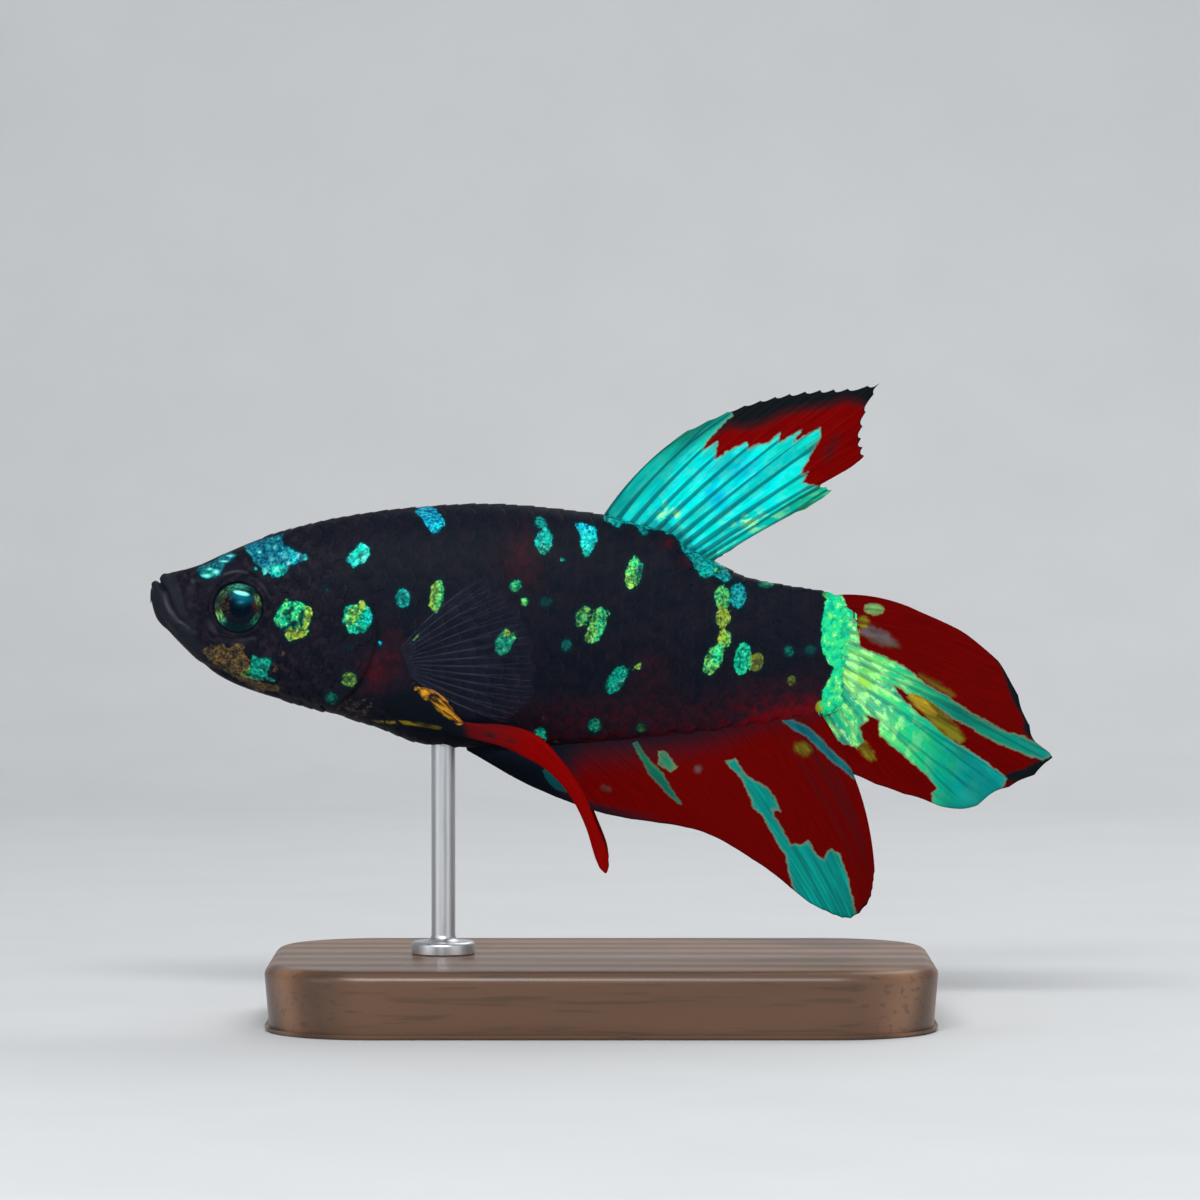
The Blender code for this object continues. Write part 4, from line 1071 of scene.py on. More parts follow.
def buildScales(skin, material):
    roots = scaleRoots()
    mesh = bpy.data.meshes.new("scales")
    mesh.from_pydata(inWorld(roots[:, 0], roots[:, 1], roots[:, 2]).tolist(), [], [])
    for name, start in (("lie", 3), ("out", 6), ("size", 9)):
        layer = mesh.attributes.new(name, "FLOAT_VECTOR", "POINT")
        layer.data.foreach_set("vector", roots[:, start:start + 3].astype(np.float32).ravel())
    setFields(mesh, {"rootU": roots[:, 12], "rootV": roots[:, 13]})
    scales = addObject("scales", mesh)
    plate = scalePlate()
    tree, sockets = scaleTree(material)
    coat = scales.modifiers.new("scaleCoat", "NODES")
    coat.node_group = tree
    coat[sockets["Plate"]] = plate
    coat[sockets["Skin"]] = skin
    coat[sockets["Millimetre"]] = mm
    applied(scales)
    bpy.data.objects.remove(plate)
    mesh = scales.data
    places = np.zeros(len(mesh.vertices) * 3)
    mesh.vertices.foreach_get("co", places)
    places = places.reshape(-1, 3) / mm
    along, high = places[:, 0] - snoutX, places[:, 2] - snoutZ
    across = places[:, 1] - swingAt(along)
    setFields(mesh, coatFields(along, high, across))
    corner = np.zeros(len(mesh.loops), int)
    mesh.loops.foreach_get("vertex_index", corner)
    uv = np.stack([fieldOf(mesh, "rootU") + 0.003 * fieldOf(mesh, "plateY"),
                   fieldOf(mesh, "rootV") + 0.003 * (fieldOf(mesh, "plateX") - 0.5)], -1)
    mesh.uv_layers.new(name="OFBake").data.foreach_set("uv", uv[corner].astype(np.float32).ravel())
    mesh.shade_smooth()
    mesh.set_sharp_from_angle(angle=math.radians(50))
    print("scales:", len(roots), "plates,", len(mesh.polygons), "faces")
    return scales


# Fins

def finFrame(shape):
    # the fin's middle surface in mm, and for each point its ray share t and length share v
    gaps = shape["rays"] - 1
    t = np.linspace(0, 1, gaps * shape["perRay"] + 1)
    v = np.linspace(0, 1, shape["rows"] + 1)
    root, tip = lineThrough(shape["base"], t), lineThrough(shape["tips"], t)
    phase = t * gaps - np.round(t * gaps)
    reach = 1 - shape["notch"] * np.abs(np.sin(shape.get("scallops", 1) * np.pi * phase))
    ray = (tip - root) * reach[:, None]
    length = np.linalg.norm(ray, axis=1)
    aside = np.stack([-ray[:, 1], ray[:, 0]], -1) / length[:, None]
    bow = np.array([shape["bow"](x) for x in t])
    place = (root[:, None] + ray[:, None] * v[None, :, None]
             + aside[:, None] * (bow[:, None] * 4 * v * (1 - v))[..., None])
    t, v = np.meshgrid(t, v, indexing="ij")
    return place[..., 0], place[..., 1], t, v, length[:, None]


def rayRidges(shape, t, v, spacing):
    # 1 on a ray and 0 between rays; a ray forks once past forkAt (finSheet cuts it into short joints)
    gaps = shape["rays"] - 1
    phase = t * gaps - np.round(t * gaps)
    fork = 0.25 * softStep(v, shape["forkAt"], 1.0)
    off = np.minimum(np.abs(phase - fork), np.abs(phase + fork)) * spacing
    width = shape["rayWidth"] * (1 - 0.55 * v)
    return bump(off, np.minimum(width, 0.3 * spacing))


def finSheet(name, shape, material, marks, fields):
    along, high, t, v, length = finFrame(shape)
    spacing = (np.hypot(*np.gradient(np.stack([along, high]), axis=1)) * shape["perRay"])
    ridge = rayRidges(shape, t, v, spacing)
    joint = 0.82 + 0.18 * np.abs(np.sin(np.pi * v * length / shape["joint"])) ** 0.6
    middle = inWorld(along, high, shape["across"](t, v)) / mm
    normal = sheetNormals(middle)
    root = softStep(0.16 - v, 0, 0.16)
    half = shape["web"] + ridge * joint * shape["rayHeight"] * (1 - 0.6 * v) + root * 0.12
    half = np.minimum(half, 0.27) * (1 - 0.75 * softStep(v, 0.985, 1.0))
    front = (middle + normal * half[..., None]) * mm
    back = (middle - normal * half[..., None]) * mm
    faces = sheetFaces(*t.shape)
    mark, hue, bright = markFields(marks, along, high)
    values = {"mark": mark, "hue": hue, "bright": bright, "ray": ridge, "pale": 1.0,
              "rayShare": t * (shape["rays"] - 1), "rayLength": v * length}
    for key, value in fields(along, high, t, v, length).items():
        if key == "bright":
            value = value * (hue < 0.8)
        values[key] = values[key] + value if key in ("hue", "bright") else value
    values = {key: np.tile(np.broadcast_to(value, t.shape).ravel(), 2) for key, value in values.items()}
    points = np.concatenate([front.reshape(-1, 3), back.reshape(-1, 3)])
    print(name + ":", len(faces), "faces")
    return makePiece(name, points, faces, material, values)


dorsalFin = {
    "base": ((33.8, 5.2), (36.7, 4.3), (39.0, 3.4), (40.7, 2.3), (41.8, 1.6)),
    "tips": ((40.4, 12.0), (43.4, 13.4), (45.9, 14.25), (48.1, 14.75), (50.4, 15.05), (52.5, 15.15),
             (54.9, 15.55), (53.85, 13.4), (53.5, 11.4), (53.75, 10.1), (50.5, 8.0), (51.3, 7.5),
             (49.3, 6.05)),
    "rays": 13, "perRay": 14, "rows": 88, "notch": 0.02, "scallops": 2, "forkAt": 0.6, "joint": 0.5,
    "rayWidth": 0.21, "rayHeight": 0.1, "web": 0.07,
    "bow": lambda t: 0.5 - 0.5 * t + 7.4 * max(0, t - 0.916),
    "across": lambda t, v: 0.35 * v * np.sin(6 * t + 2 * v),
}
tailFin = {
    "base": ((50.8, -0.5), (51.3, -3.0), (51.4, -5.0), (51.3, -7.0), (50.2, -9.3)),
    "tips": ((57.4, -1.5), (61.7, -3.5), (64.7, -6.4), (66.0, -9.4), (66.9, -11.6), (68.1, -12.7),
             (66.6, -14.2), (64.2, -15.3), (61.2, -16.8), (57.7, -15.8), (55.0, -14.9), (53.0, -14.0)),
    "rays": 14, "perRay": 14, "rows": 96, "notch": 0.012, "forkAt": 0.2, "joint": 0.4,
    "rayWidth": 0.14, "rayHeight": 0.06, "web": 0.08,
    "bow": lambda t: 0.5 - 0.7 * t,
    "across": lambda t, v: (0.5 * v * np.sin(8 * t + 1.5 * v)
                            + 0.45 * softStep(t, 0.78, 1.0) * softStep(v, 0, 0.2)),
}
analFin = {
    "base": ((23.1, -10.9), (30.8, -10.5), (41.0, -9.9), (50.0, -8.7)),
    "tips": ((23.8, -12.1), (28.9, -14.95), (34.6, -17.0), (41.0, -18.1), (46.0, -20.8), (50.2, -24.0),
             (52.6, -24.9), (54.3, -23.3), (54.6, -21.4)),
    "rays": 26, "perRay": 10, "rows": 84, "notch": 0.005, "forkAt": 0.35, "joint": 0.45,
    "rayWidth": 0.15, "rayHeight": 0.045, "web": 0.09,
    "bow": lambda t: 0.1 + 0.9 * t * t,
    "across": lambda t, v: 0.45 * v * np.sin(7 * t + 1.0),
}
# the dorsal fin's black band, and the line of its fold, along which shade is painted
dorsalBand = ((42.2, 11.45), (43.5, 12.1), (44.8, 12.0), (46.2, 12.35), (47.5, 13.0), (49.1, 13.4),
              (50.7, 13.6),
              (52.3, 14.1), (53.3, 13.9), (54.1, 13.4), (55.6, 13.4), (56.0, 16.5), (50.0, 17.0),
              (43.0, 15.0),
              (41.5, 12.5))
dorsalFoot = ((33.35, 5.45), (34.8, 4.9), (37.0, 4.5), (38.2, 4.7), (39.25, 4.4), (40.0, 3.7), (40.6, 2.9),
              (42.4, 2.3))
dorsalFoldShade = ((51.9, 12.0), (51.4, 11.0), (51.0, 10.2), (50.6, 9.3))


def dorsalFields(along, high, t, v, length):
    band = depthInside(along.ravel(), high.ravel(), np.array(dorsalBand)).reshape(along.shape)
    crease, share, _ = fromLine(along, high, dorsalFoldShade)
    ink = softStep(band, -0.35, 0.35) * (0.82 + 0.18 * softStep(band, 0.3, 0.8))
    rim = softStep(0.2 - (1 - v) * length, 0, 0.15) * softStep(high, 7.9, 8.4)
    # the black band and dark rim, and painted shade along the fin's fold
    ink = np.maximum(ink, np.maximum(rim, 0.55 * bump(crease, 0.4) * np.sin(np.pi * share)))
    blue = (bump(np.hypot((along - 44.3) / 1.3, high - 9.0), 1.1)
            + bump(np.hypot(along - 42.5, high - 7.1), 0.8))
    foot, _, _ = fromLine(along, high, dorsalFoot)
    foot = softStep(0.6 - foot + 0.15 * np.sin(7 * along) + 0.1 * np.sin(17 * along + 2), 0, 0.25)
    front = 1 - softStep(t, 0.03, 0.2)
    top = softStep(v, 0.45, 0.95)
    flecks = (bump(np.hypot((along - 38.45) / 0.3, (high - 5.85) / 0.6), 1)
              + bump(np.hypot((along - 39.45) / 0.3, (high - 5.5) / 0.6), 1)
              + 0.8 * bump(np.hypot((along - 45.2) / 1.4, (high - 5.2) / 0.5), 1))
    return {"red": 1.0, "ink": ink, "hue": 0.12 * softStep(t, 0.72,
                                                           1.0) - 0.09 * blue + 0.05 * front + 0.09 * top,
            "bright": -0.45 * front - 0.15 * softStep(t, 0.8, 1.0) - 0.3 * top - 0.5 * foot,
            "pale": 0.1 + 0.4 * softStep(t, 0.7, 0.9) + 3.0 * flecks}


def tailFields(along, high, t, v, length):
    edge = (1 - v) * length
    thick = 0.22 + 0.55 * bump(high + 7.9, 1.3) + 0.5 * bump(high + 10.6, 0.7) + 0.9 * bump(high + 14.1, 1.2)
    ink = softStep(thick - edge, -0.1, 0.2) * softStep(along, 60.5, 62.5) * softStep(high, -15.0, -14.3)
    ink = np.maximum(ink, 0.8 * softStep(0.15 - edge, 0, 0.15))
    return {"red": 1.0, "ink": ink, "pale": 1.2 - 1.15 * softStep(along, 54.5, 59.5),
            "bright": -0.6 * softStep(along, 54.5, 61.5)}


def analFields(along, high, t, v, length):
    edge = (1 - v) * length
    red = softStep(along - 0.25 * (high + 12), 30.5, 33.5) * np.maximum(bellyRed(along, high), 0.12)
    blue = softStep(1.3 - edge, 0, 0.7) * (1 - softStep(along, 33, 40))
    # painted shade along the fin's folds
    foldShade = bump(t - 0.9 - 0.015 * v, 0.016) + 0.8 * bump(t - 0.94, 0.012) + 0.6 * bump(t - 0.855, 0.014)
    ink = np.maximum(0.4 * foldShade * np.sin(np.pi * np.clip(v, 0, 1)) ** 0.7,
                     softStep(0.3 - edge, 0, 0.25) * 0.8)
    return {"red": red * (1 - 0.9 * blue), "ink": ink, "pale": 0.0}


pelvicFin = {
    "middle": ((17.6, -8.4), (20.6, -8.95), (23.6, -10.35), (26.4, -10.75), (28.5, -11.5), (30.5, -13.1),
               (32.1, -15.2), (33.1, -17.4), (33.8, -19.4), (34.25, -21.05)),
    "width": (2.4, 3.5, 1.15, 1.6, 1.9, 1.3, 1.0, 0.85, 1.0, 0.6),
    "across": (2.6, 3.4, 3.8, 4.3),
    "free": (21.5, 26.0),    # where the blade leaves the belly
    "stations": 130, "edges": 12, "thick": 0.4,
}


def buildPelvic(name, side, material):
    shares = np.linspace(0, 1, pelvicFin["stations"])
    middle = lineThrough(pelvicFin["middle"], shares)
    width = valueThrough(pelvicFin["width"], shares)
    width *= np.sqrt(np.clip((1 - shares) * 30, 0.02, 1) * np.clip(shares * 12, 0.05, 1))
    spread = valueThrough(pelvicFin["across"], shares)[:, None]
    run = np.gradient(middle, axis=0)
    run /= np.linalg.norm(run, axis=1, keepdims=True)
    edges = pelvicFin["edges"]
    turn = np.linspace(0, 2 * np.pi, 2 * edges, endpoint=False)
    share, face = -0.5 * np.cos(turn), np.sin(turn)
    a = middle[:, :1] - run[:, 1:] * width[:, None] * share
    h = middle[:, 1:] + run[:, :1] * width[:, None] * share
    rays = 0.05 * np.cos(share * 2 * np.pi * 4)
    free = softStep(a, *pelvicFin["free"])
    bulge = pelvicFin["thick"] / 2 * np.abs(face) ** 0.6 * (0.85 + rays) * (0.4 + 0.6 * free)
    onBelly = halfWidthAt(a, np.maximum(h, smoothThrough(fishBody["belly"], a) + 0.9))
    off = np.maximum(spread, halfWidthAt(a, h) + 0.32)
    points = inWorld(a, h, side * (onBelly + free * (off - onBelly) + np.sign(face) * bulge))
    mark, hue, bright = markFields(pelvicMarks, a, h)
    red = np.broadcast_to(softStep(a + 0.3 * (h + 10), 23.3, 24.1), a.shape)
    dashes = bump(np.hypot((a - 25.6) / 2.2, h + 10.75 + 0.3 * (a - 25.6)), 0.16)
    dashes = dashes + bump(np.hypot((a - 27.2) / 2.2, h + 11.15 + 0.4 * (a - 27.2)), 0.16)
    dark = np.clip(0.7 * dashes + 0.5 * (1 - softStep(a, 24.5, 29.0)), 0, 1)
    fields = {"mark": mark, "hue": hue, "bright": bright, "red": red, "ink": dark, "pale": np.zeros(a.shape),
              "ray": np.broadcast_to(bump(np.sin(share * 2 * np.pi * 2), 0.5), a.shape),
              "rayShare": np.broadcast_to(share * 3, a.shape),
              "rayLength": np.broadcast_to(shares[:, None] * 20, a.shape)}
    return makePiece(name, points, sleeveFaces(len(shares), len(turn)), material, fields)


pectoralFin = {
    "base": ((18.9, -4.3), (19.3, -5.2), (19.6, -6.2)),
    "tips": ((25.5, 1.4), (27.6, -0.8), (28.9, -4.0), (29.1, -7.1), (27.0, -9.8)),
    "rays": 14, "perRay": 8, "rows": 44, "notch": 0.02, "flare": 1.7,
    "bow": lambda t: 0.4 - 0.8 * t,
    "webHalf": 0.02, "rayRadius": 0.085,
}


def pectoralAcross(t, v, along, high):
    return (halfWidthAt(along, high) + 0.5 * np.minimum(1, 6 * v) + pectoralFin["flare"] * v ** 1.5
            + 0.12 * v * np.sin(14 * t))


def buildPectoralWeb(name, side, material):
    along, high, t, v, length = finFrame(pectoralFin)
    middle = inWorld(along, high, side * pectoralAcross(t, v, along, high)) / mm
    normal = sheetNormals(middle)
    half = pectoralFin["webHalf"]
    points = np.concatenate([(middle + normal * half).reshape(-1, 3),
                             (middle - normal * half).reshape(-1, 3)])
    return makePiece(name, points * mm, sheetFaces(*t.shape), material)


def ribTree(material):
    tree = bpy.data.node_groups.new("finRibs", "GeometryNodeTree")
    tree.interface.new_socket("Geometry", in_out="INPUT", socket_type="NodeSocketGeometry")
    width = tree.interface.new_socket("Radius", in_out="INPUT", socket_type="NodeSocketFloat").identifier
    tree.interface.new_socket("Geometry", in_out="OUTPUT", socket_type="NodeSocketGeometry")
    start, end = tree.nodes.new("NodeGroupInput"), tree.nodes.new("NodeGroupOutput")
    curves = tree.nodes.new("GeometryNodeMeshToCurve")
    taper = tree.nodes.new("GeometryNodeInputNamedAttribute")
    taper.inputs["Name"].default_value = "taper"
    radius = tree.nodes.new("GeometryNodeSetCurveRadius")
    profile = tree.nodes.new("GeometryNodeCurvePrimitiveCircle")
    profile.inputs["Resolution"].default_value = 8
    tube = tree.nodes.new("GeometryNodeCurveToMesh")
    tube.inputs["Fill Caps"].default_value = True
    solid = tree.nodes.new("GeometryNodeRealizeInstances")
    finish = tree.nodes.new("GeometryNodeSetMaterial")
    finish.inputs["Material"].default_value = material
    tree.links.new(start.outputs["Geometry"], curves.inputs[0])
    tree.links.new(curves.outputs[0], radius.inputs["Curve"])
    tree.links.new(taper.outputs["Attribute"], radius.inputs["Radius"])
    tree.links.new(start.outputs["Radius"], profile.inputs["Radius"])
    tree.links.new(radius.outputs[0], tube.inputs["Curve"])
    tree.links.new(profile.outputs[0], tube.inputs["Profile Curve"])
    tree.links.new(taper.outputs["Attribute"], tube.inputs["Scale"])
    tree.links.new(tube.outputs[0], solid.inputs[0])
    tree.links.new(solid.outputs[0], finish.inputs[0])
    tree.links.new(finish.outputs[0], end.inputs[0])
    return tree, width


def buildPectoralRays(name, side, tree, width):
    along, high, t, v, length = finFrame(pectoralFin)
    middle = inWorld(along, high, side * pectoralAcross(t, v, along, high))
    columns, rows = t.shape
    points, edges, taper = [], [], []
    forkRow = rows // 3
    for ray in range(pectoralFin["rays"]):
        column = ray * pectoralFin["perRay"]
        for hand in (-1, 1):                       # both branches share the stem below the fork
            start = len(points)
            for row in range(rows - 1):
                off = 2.0 * softStep(row, forkRow, rows) * hand
                at = np.clip(column + off, 0, columns - 1)
                low = int(at)
                part = at - low
                points.append(middle[low, row] * (1 - part) + middle[min(low + 1, columns - 1), row] * part)
                taper.append(1.0 - 0.8 * row / rows)
            edges += [(k, k + 1) for k in range(start, len(points) - 1)]
    mesh = bpy.data.meshes.new(name)
    mesh.from_pydata(points, edges, [])
    setFields(mesh, {"taper": taper})
    ribs = addObject(name, mesh)
    step = ribs.modifiers.new("finRibs", "NODES")
    step.node_group = tree
    step[width] = pectoralFin["rayRadius"] * mm
    applied(ribs)
    ribs.data.shade_smooth()
    return ribs


def mistMaterial(name, colour, alpha):
    material, tree, shader = newMaterial(name, 0.5, Alpha=alpha, Specular_IOR_Level=0.1)
    cloud = noiseOf(tree, 700, detail=3)
    grain = noiseOf(tree, 4200, detail=2)
    pale = tuple(min(1, c * 1.8) for c in colour)
    dress(tree, shader, mixOf(tree, stepOf(tree, cloud, 0.3, 0.7), colour, pale),
          bumpOf(tree, grain, 0.03, 0.5))
    return material


# Eyes

eyeBall = {
    "along": headRelief["eye"][0], "high": headRelief["eye"][1], "radius": headRelief["eyeRadius"],
    "rimSunk": 0.12,
    "turnIn": 6.0,           # degrees that the eye is turned forward, with the cheek
    "pupil": 0.88, "pupilAside": (0.26, 0.1),
    "dome": 0.62, "bowl": 1.2, "turns": 128,
}


def eyePlace(side, x, z, out):
    # x along and z high from the eye's middle, out from its rim's plane
    rim = float(halfWidthAt(eyeBall["along"], eyeBall["high"])) - eyeBall["rimSunk"]
    turn = math.radians(eyeBall["turnIn"])
    along = eyeBall["along"] + x * math.cos(turn) - out * math.sin(turn)
    across = rim + x * math.sin(turn) + out * math.cos(turn)
    return inWorld(along, eyeBall["high"] + z, side * across)


def turnedPiece(name, side, profile, material, fields=None):
    # profile is (radius, out), from the axis outside to the axis inside
    turns = eyeBall["turns"]
    angle = np.linspace(0, 2 * np.pi, turns, endpoint=False)
    radius, out = np.array(profile).T
    x, z = radius[1:-1, None] * np.cos(angle), radius[1:-1, None] * np.sin(angle)
    rows = len(profile) - 2
    points = eyePlace(side, x, z, np.broadcast_to(out[1:-1, None], x.shape)).reshape(-1, 3)
    caps = [eyePlace(side, 0.0, 0.0, out[0]), eyePlace(side, 0.0, 0.0, out[-1])]
    faces = gridFaces(rows, turns, closed=True)
    for k in range(turns):
        after = (k + 1) % turns
        faces.append([k, after, len(points)])
        faces.append([(rows - 1) * turns + after, (rows - 1) * turns + k, len(points) + 1])
    values = None
    if fields:
        values = {key: np.concatenate([value.ravel(), [value.flat[0], value.flat[-1]]])
                  for key, value in fields(x, z).items()}
    return makePiece(name, np.concatenate([points, caps]), faces, material, values)


# the iris's bright places, partly its own colours and partly painted highlights: (angle, spread, hue, light),
# angles in radians from the tail side upwards
irisGlints = ((1.55, 0.5, 0.5, 0.55), (2.4, 0.4, 0.8, 0.22), (3.05, 0.2, 0.88, 0.14), (-2.7, 0.26, 0.73, 1.0),
              (-2.38, 0.12, 0.5, 0.3), (0.38, 0.24, 0.78, 0.6), (-0.6, 0.35, 0.56, 0.32))


def irisFields(x, z):
    aside = eyeBall["pupilAside"]
    ring = np.hypot(x, z) / eyeBall["radius"]
    pupil = np.hypot(x - aside[0] * (1 - ring), z - aside[1] * (1 - ring)) / eyeBall["radius"]
    angle = np.arctan2(z, x)
    share, hue, light = np.full(x.shape, 0.01), np.full(x.shape, 0.005), np.full(x.shape, 0.03)
    for at, spread, shade, glow in irisGlints:
        here = bump(np.angle(np.exp(1j * (angle - at))), spread)
        share, hue, light = share + here, hue + here * shade, light + here * glow
    slope = z + 0.2 * (x - 0.25)
    warm = bump(np.hypot(x + 0.75, z - 0.3), 0.7)
    ember = bump(np.hypot((x - 1.34 + 0.2 * z) / 0.17, (z - 0.1) / 0.5), 1)
    # painted reflections: glow is a teal haze under the lamp's highlight and a deep blue haze round the
    # pupil's glint, gleam is the painted highlight of the key lamp, spark a faint painted glint on the pupil
    glow = (bump(np.hypot((x - 0.25) / 0.75, (slope - 0.82) / 0.26), 1)
            + 0.3 * bump(np.hypot((x - 0.3) / 0.5, (z - 0.42) / 0.3), 1))
    gleam = softStep(1 - (np.abs(x - 0.25) / 0.72) ** 2.6 - np.abs((slope - 1.09) / 0.21) ** 1.6, 0, 0.9)
    spark = bump(np.hypot((x - 0.22) / 0.22, (z - 0.42) / 0.1), 1)
    return {"ring": pupil, "edge": ring, "hue": hue / share, "light": np.clip(light, 0, 1),
            "glow": np.clip(glow, 0, 1), "warm": warm, "ember": ember,
            "gleam": np.maximum(gleam, 0.12 * spark), "spokes": angle * 6, "inner": ring * 3}


def irisMaterial():
    material, tree, shader = newMaterial("irisFinish", 0.18, Specular_IOR_Level=0.14)
    shader.inputs["Specular Tint"].default_value = (0.25, 0.65, 1.0, 1.0)
    ring = attributeOf(tree, "ring")
    flow = flowOf(tree, attributeOf(tree, "spokes"), attributeOf(tree, "inner"))
    spokes = noiseOf(tree, 1.0, flow, detail=4, stretch=(2.2, 0.8, 1))
    arcs = noiseOf(tree, 1.0, flow, detail=3, stretch=(0.8, 5.0, 1))
    grain = noiseOf(tree, 5200, detail=3)
    outer = layered(
        tree, shineOf(tree, timesOf(tree, centred(tree, grain), 0.2)),
        (0.35, (0.17, 0.27, 0.22)),
        (stepOf(tree, arcs, 0.58, 0.42, 0, 0.85), (0.001, 0.018, 0.016)),
        (stepOf(tree, grain, 0.58, 0.75, 0, 0.4), (0.5, 0.8, 0.55)),
        # darker away from the bright places of irisGlints, which are partly painted highlights
        (stepOf(tree, attributeOf(tree, "light"), 0, 1, 1, 0.1), (0.001, 0.008, 0.008)))
    amber = timesOf(tree, attributeOf(tree, "warm"), stepOf(tree, grain, 0.42, 0.6))
    ember = timesOf(tree, attributeOf(tree, "ember"), stepOf(tree, grain, 0.4, 0.6, 0.1, 0.65))
    inner = mixOf(tree, amber, (0.003, 0.003, 0.005), (0.06, 0.034, 0.016))
    wobble = mathOf(tree, "MULTIPLY_ADD", spokes, 0.16, mathOf(tree, "SUBTRACT", ring, 0.08))
    around = layered(tree, inner, (stepOf(tree, wobble, 0.66, 0.78), outer), (ember, (0.13, 0.024, 0.007)))
    colour = layered(
        tree, (0.0005, 0.001, 0.005),      # the pupil
        (stepOf(tree, ring, 0.4, 0.5), around),
        # painted reflections on the eye: the teal and blue haze, then the lamp's highlight
        (attributeOf(tree, "glow"), (0.0, 0.13, 0.2)),
        (attributeOf(tree, "gleam"), (0.3, 1.0, 0.85)),
        (stepOf(tree, attributeOf(tree, "edge"), 0.92, 0.98), (0.002, 0.007, 0.009)))
    dress(tree, shader, colour, bumpOf(tree, spokes, 0.03, 0.4))
    return material


def corneaMaterial():
    # a clear film, thin enough to light the iris through
    material, tree, shader = newMaterial("corneaFinish", 0.1, Alpha=0.06, Specular_IOR_Level=0.0)
    haze = stepOf(tree, noiseOf(tree, 2600, detail=2), 0.3, 0.7)
    dress(tree, shader, mixOf(tree, haze, (0.002, 0.003, 0.008), (0.004, 0.006, 0.01)))
    return material


def buildEye(hand, side, iris, cornea):
    radius = eyeBall["radius"]
    share = np.linspace(0, 1, 34)
    iriScreen = [(r * (radius - 0.03), 0.26 * (1 - r ** 2) - 0.02) for r in share]
    lens = eyeBall["pupil"] / radius
    iriScreen = [(r, out + 0.03 * float(softStep(lens - r / radius, 0, 0.25))) for r, out in iriScreen]
    back = [(radius * math.cos(a), -eyeBall["bowl"] * math.sin(a)) for a in np.linspace(0.06, np.pi / 2, 10)]
    ball = turnedPiece("eye_ball_" + hand, side, iriScreen + back, iris, irisFields)
    dome = [((radius - 0.05) * math.sin(a), eyeBall["dome"] * math.cos(a))
            for a in np.linspace(0, np.pi / 2, 18)]
    under = [(r * (radius - 0.09), -0.3) for r in np.linspace(1, 0, 8)]      # hidden behind the iris
    glass = turnedPiece("eye_cornea_" + hand, side, dome + under, cornea)
    return ball, glass


# The stand

standBase = {"corner": 8.0, "round": 0.9, "foot": 0.35, "topInset": 1.2, "underInset": 4, "cornerPoints": 13}
standRod = {"radius": 0.9, "tipBevel": 0.1, "footRadius": 2.4, "footThick": 1.0, "footBevel": 0.12,
            "footRound": 0.3, "fillet": 0.5, "turns": 64}


def buildBase(material):
    low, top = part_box("stand_base")
    centre = (low + top) / 2 / mm
    halfLong, halfDeep = (top.x - low.x) / 2 / mm, (top.y - low.y) / 2 / mm
    thick, corner, steps = top.z / mm, standBase["corner"], standBase["cornerPoints"]

    def outline(inset):
        radius = corner - inset
        ring = []
        for quarter, (sx, sy) in enumerate(((1, 1), (-1, 1), (-1, -1), (1, -1))):
            for k in range(steps):
                angle = np.pi / 2 * (quarter + k / (steps - 1))
                ring.append((centre.x + sx * (halfLong - corner) + radius * math.cos(angle),
                             centre.y + sy * (halfDeep - corner) + radius * math.sin(angle)))
        return np.array(ring)

    soft, foot = standBase["round"], standBase["foot"]
    levels = [(foot + standBase["underInset"], 0.0)]
    levels += [(foot * (1 - math.sin(a)), foot * (1 - math.cos(a))) for a in np.linspace(np.pi / 2, 0, 5)]
    levels += [(soft * (1 - math.cos(a)), thick - soft * (1 - math.sin(a)))
               for a in np.linspace(0, np.pi / 2, 9)]
    levels.append((soft + standBase["topInset"], thick))
    rings = [np.column_stack([outline(inset), np.full(4 * steps, z)]) for inset, z in levels]
    return makePiece("stand_plinth", np.concatenate(rings) * mm, sleeveFaces(len(rings), 4 * steps), material,
                     sharp=40)


def buildRod(material):
    low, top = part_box("stand_rod")
    x, y = (low.x + top.x) / 2 / mm, (low.y + top.y) / 2 / mm
    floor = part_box("stand_base")[1].z / mm
    radius, foot, turns = standRod["radius"], standRod["footRadius"], standRod["turns"]
    bevel, soft, fillet, tip = [standRod[key] for key in ("footBevel", "footRound", "fillet", "tipBevel")]
    shoulder = floor + standRod["footThick"]
    quarter = np.linspace(0, np.pi / 2, 6)
    profile = [(radius, low.z / mm), (radius, floor), (foot - bevel, floor), (foot, floor + bevel)]
    profile += [(foot - soft + soft * math.cos(a), shoulder - soft + soft * math.sin(a)) for a in quarter]
    profile += [(radius + fillet - fillet * math.sin(a), shoulder + fillet - fillet * math.cos(a))
                for a in quarter]
    profile += [(radius, top.z / mm - tip), (radius - tip, top.z / mm)]
    turn = np.linspace(0, 2 * np.pi, turns, endpoint=False)
    rings = [np.column_stack([x + r * np.cos(turn), y + r * np.sin(turn), np.full(turns, z)]) for r,
             z in profile]
    return makePiece("stand_post", np.concatenate(rings) * mm, sleeveFaces(len(rings), turns), material,
                     sharp=40)


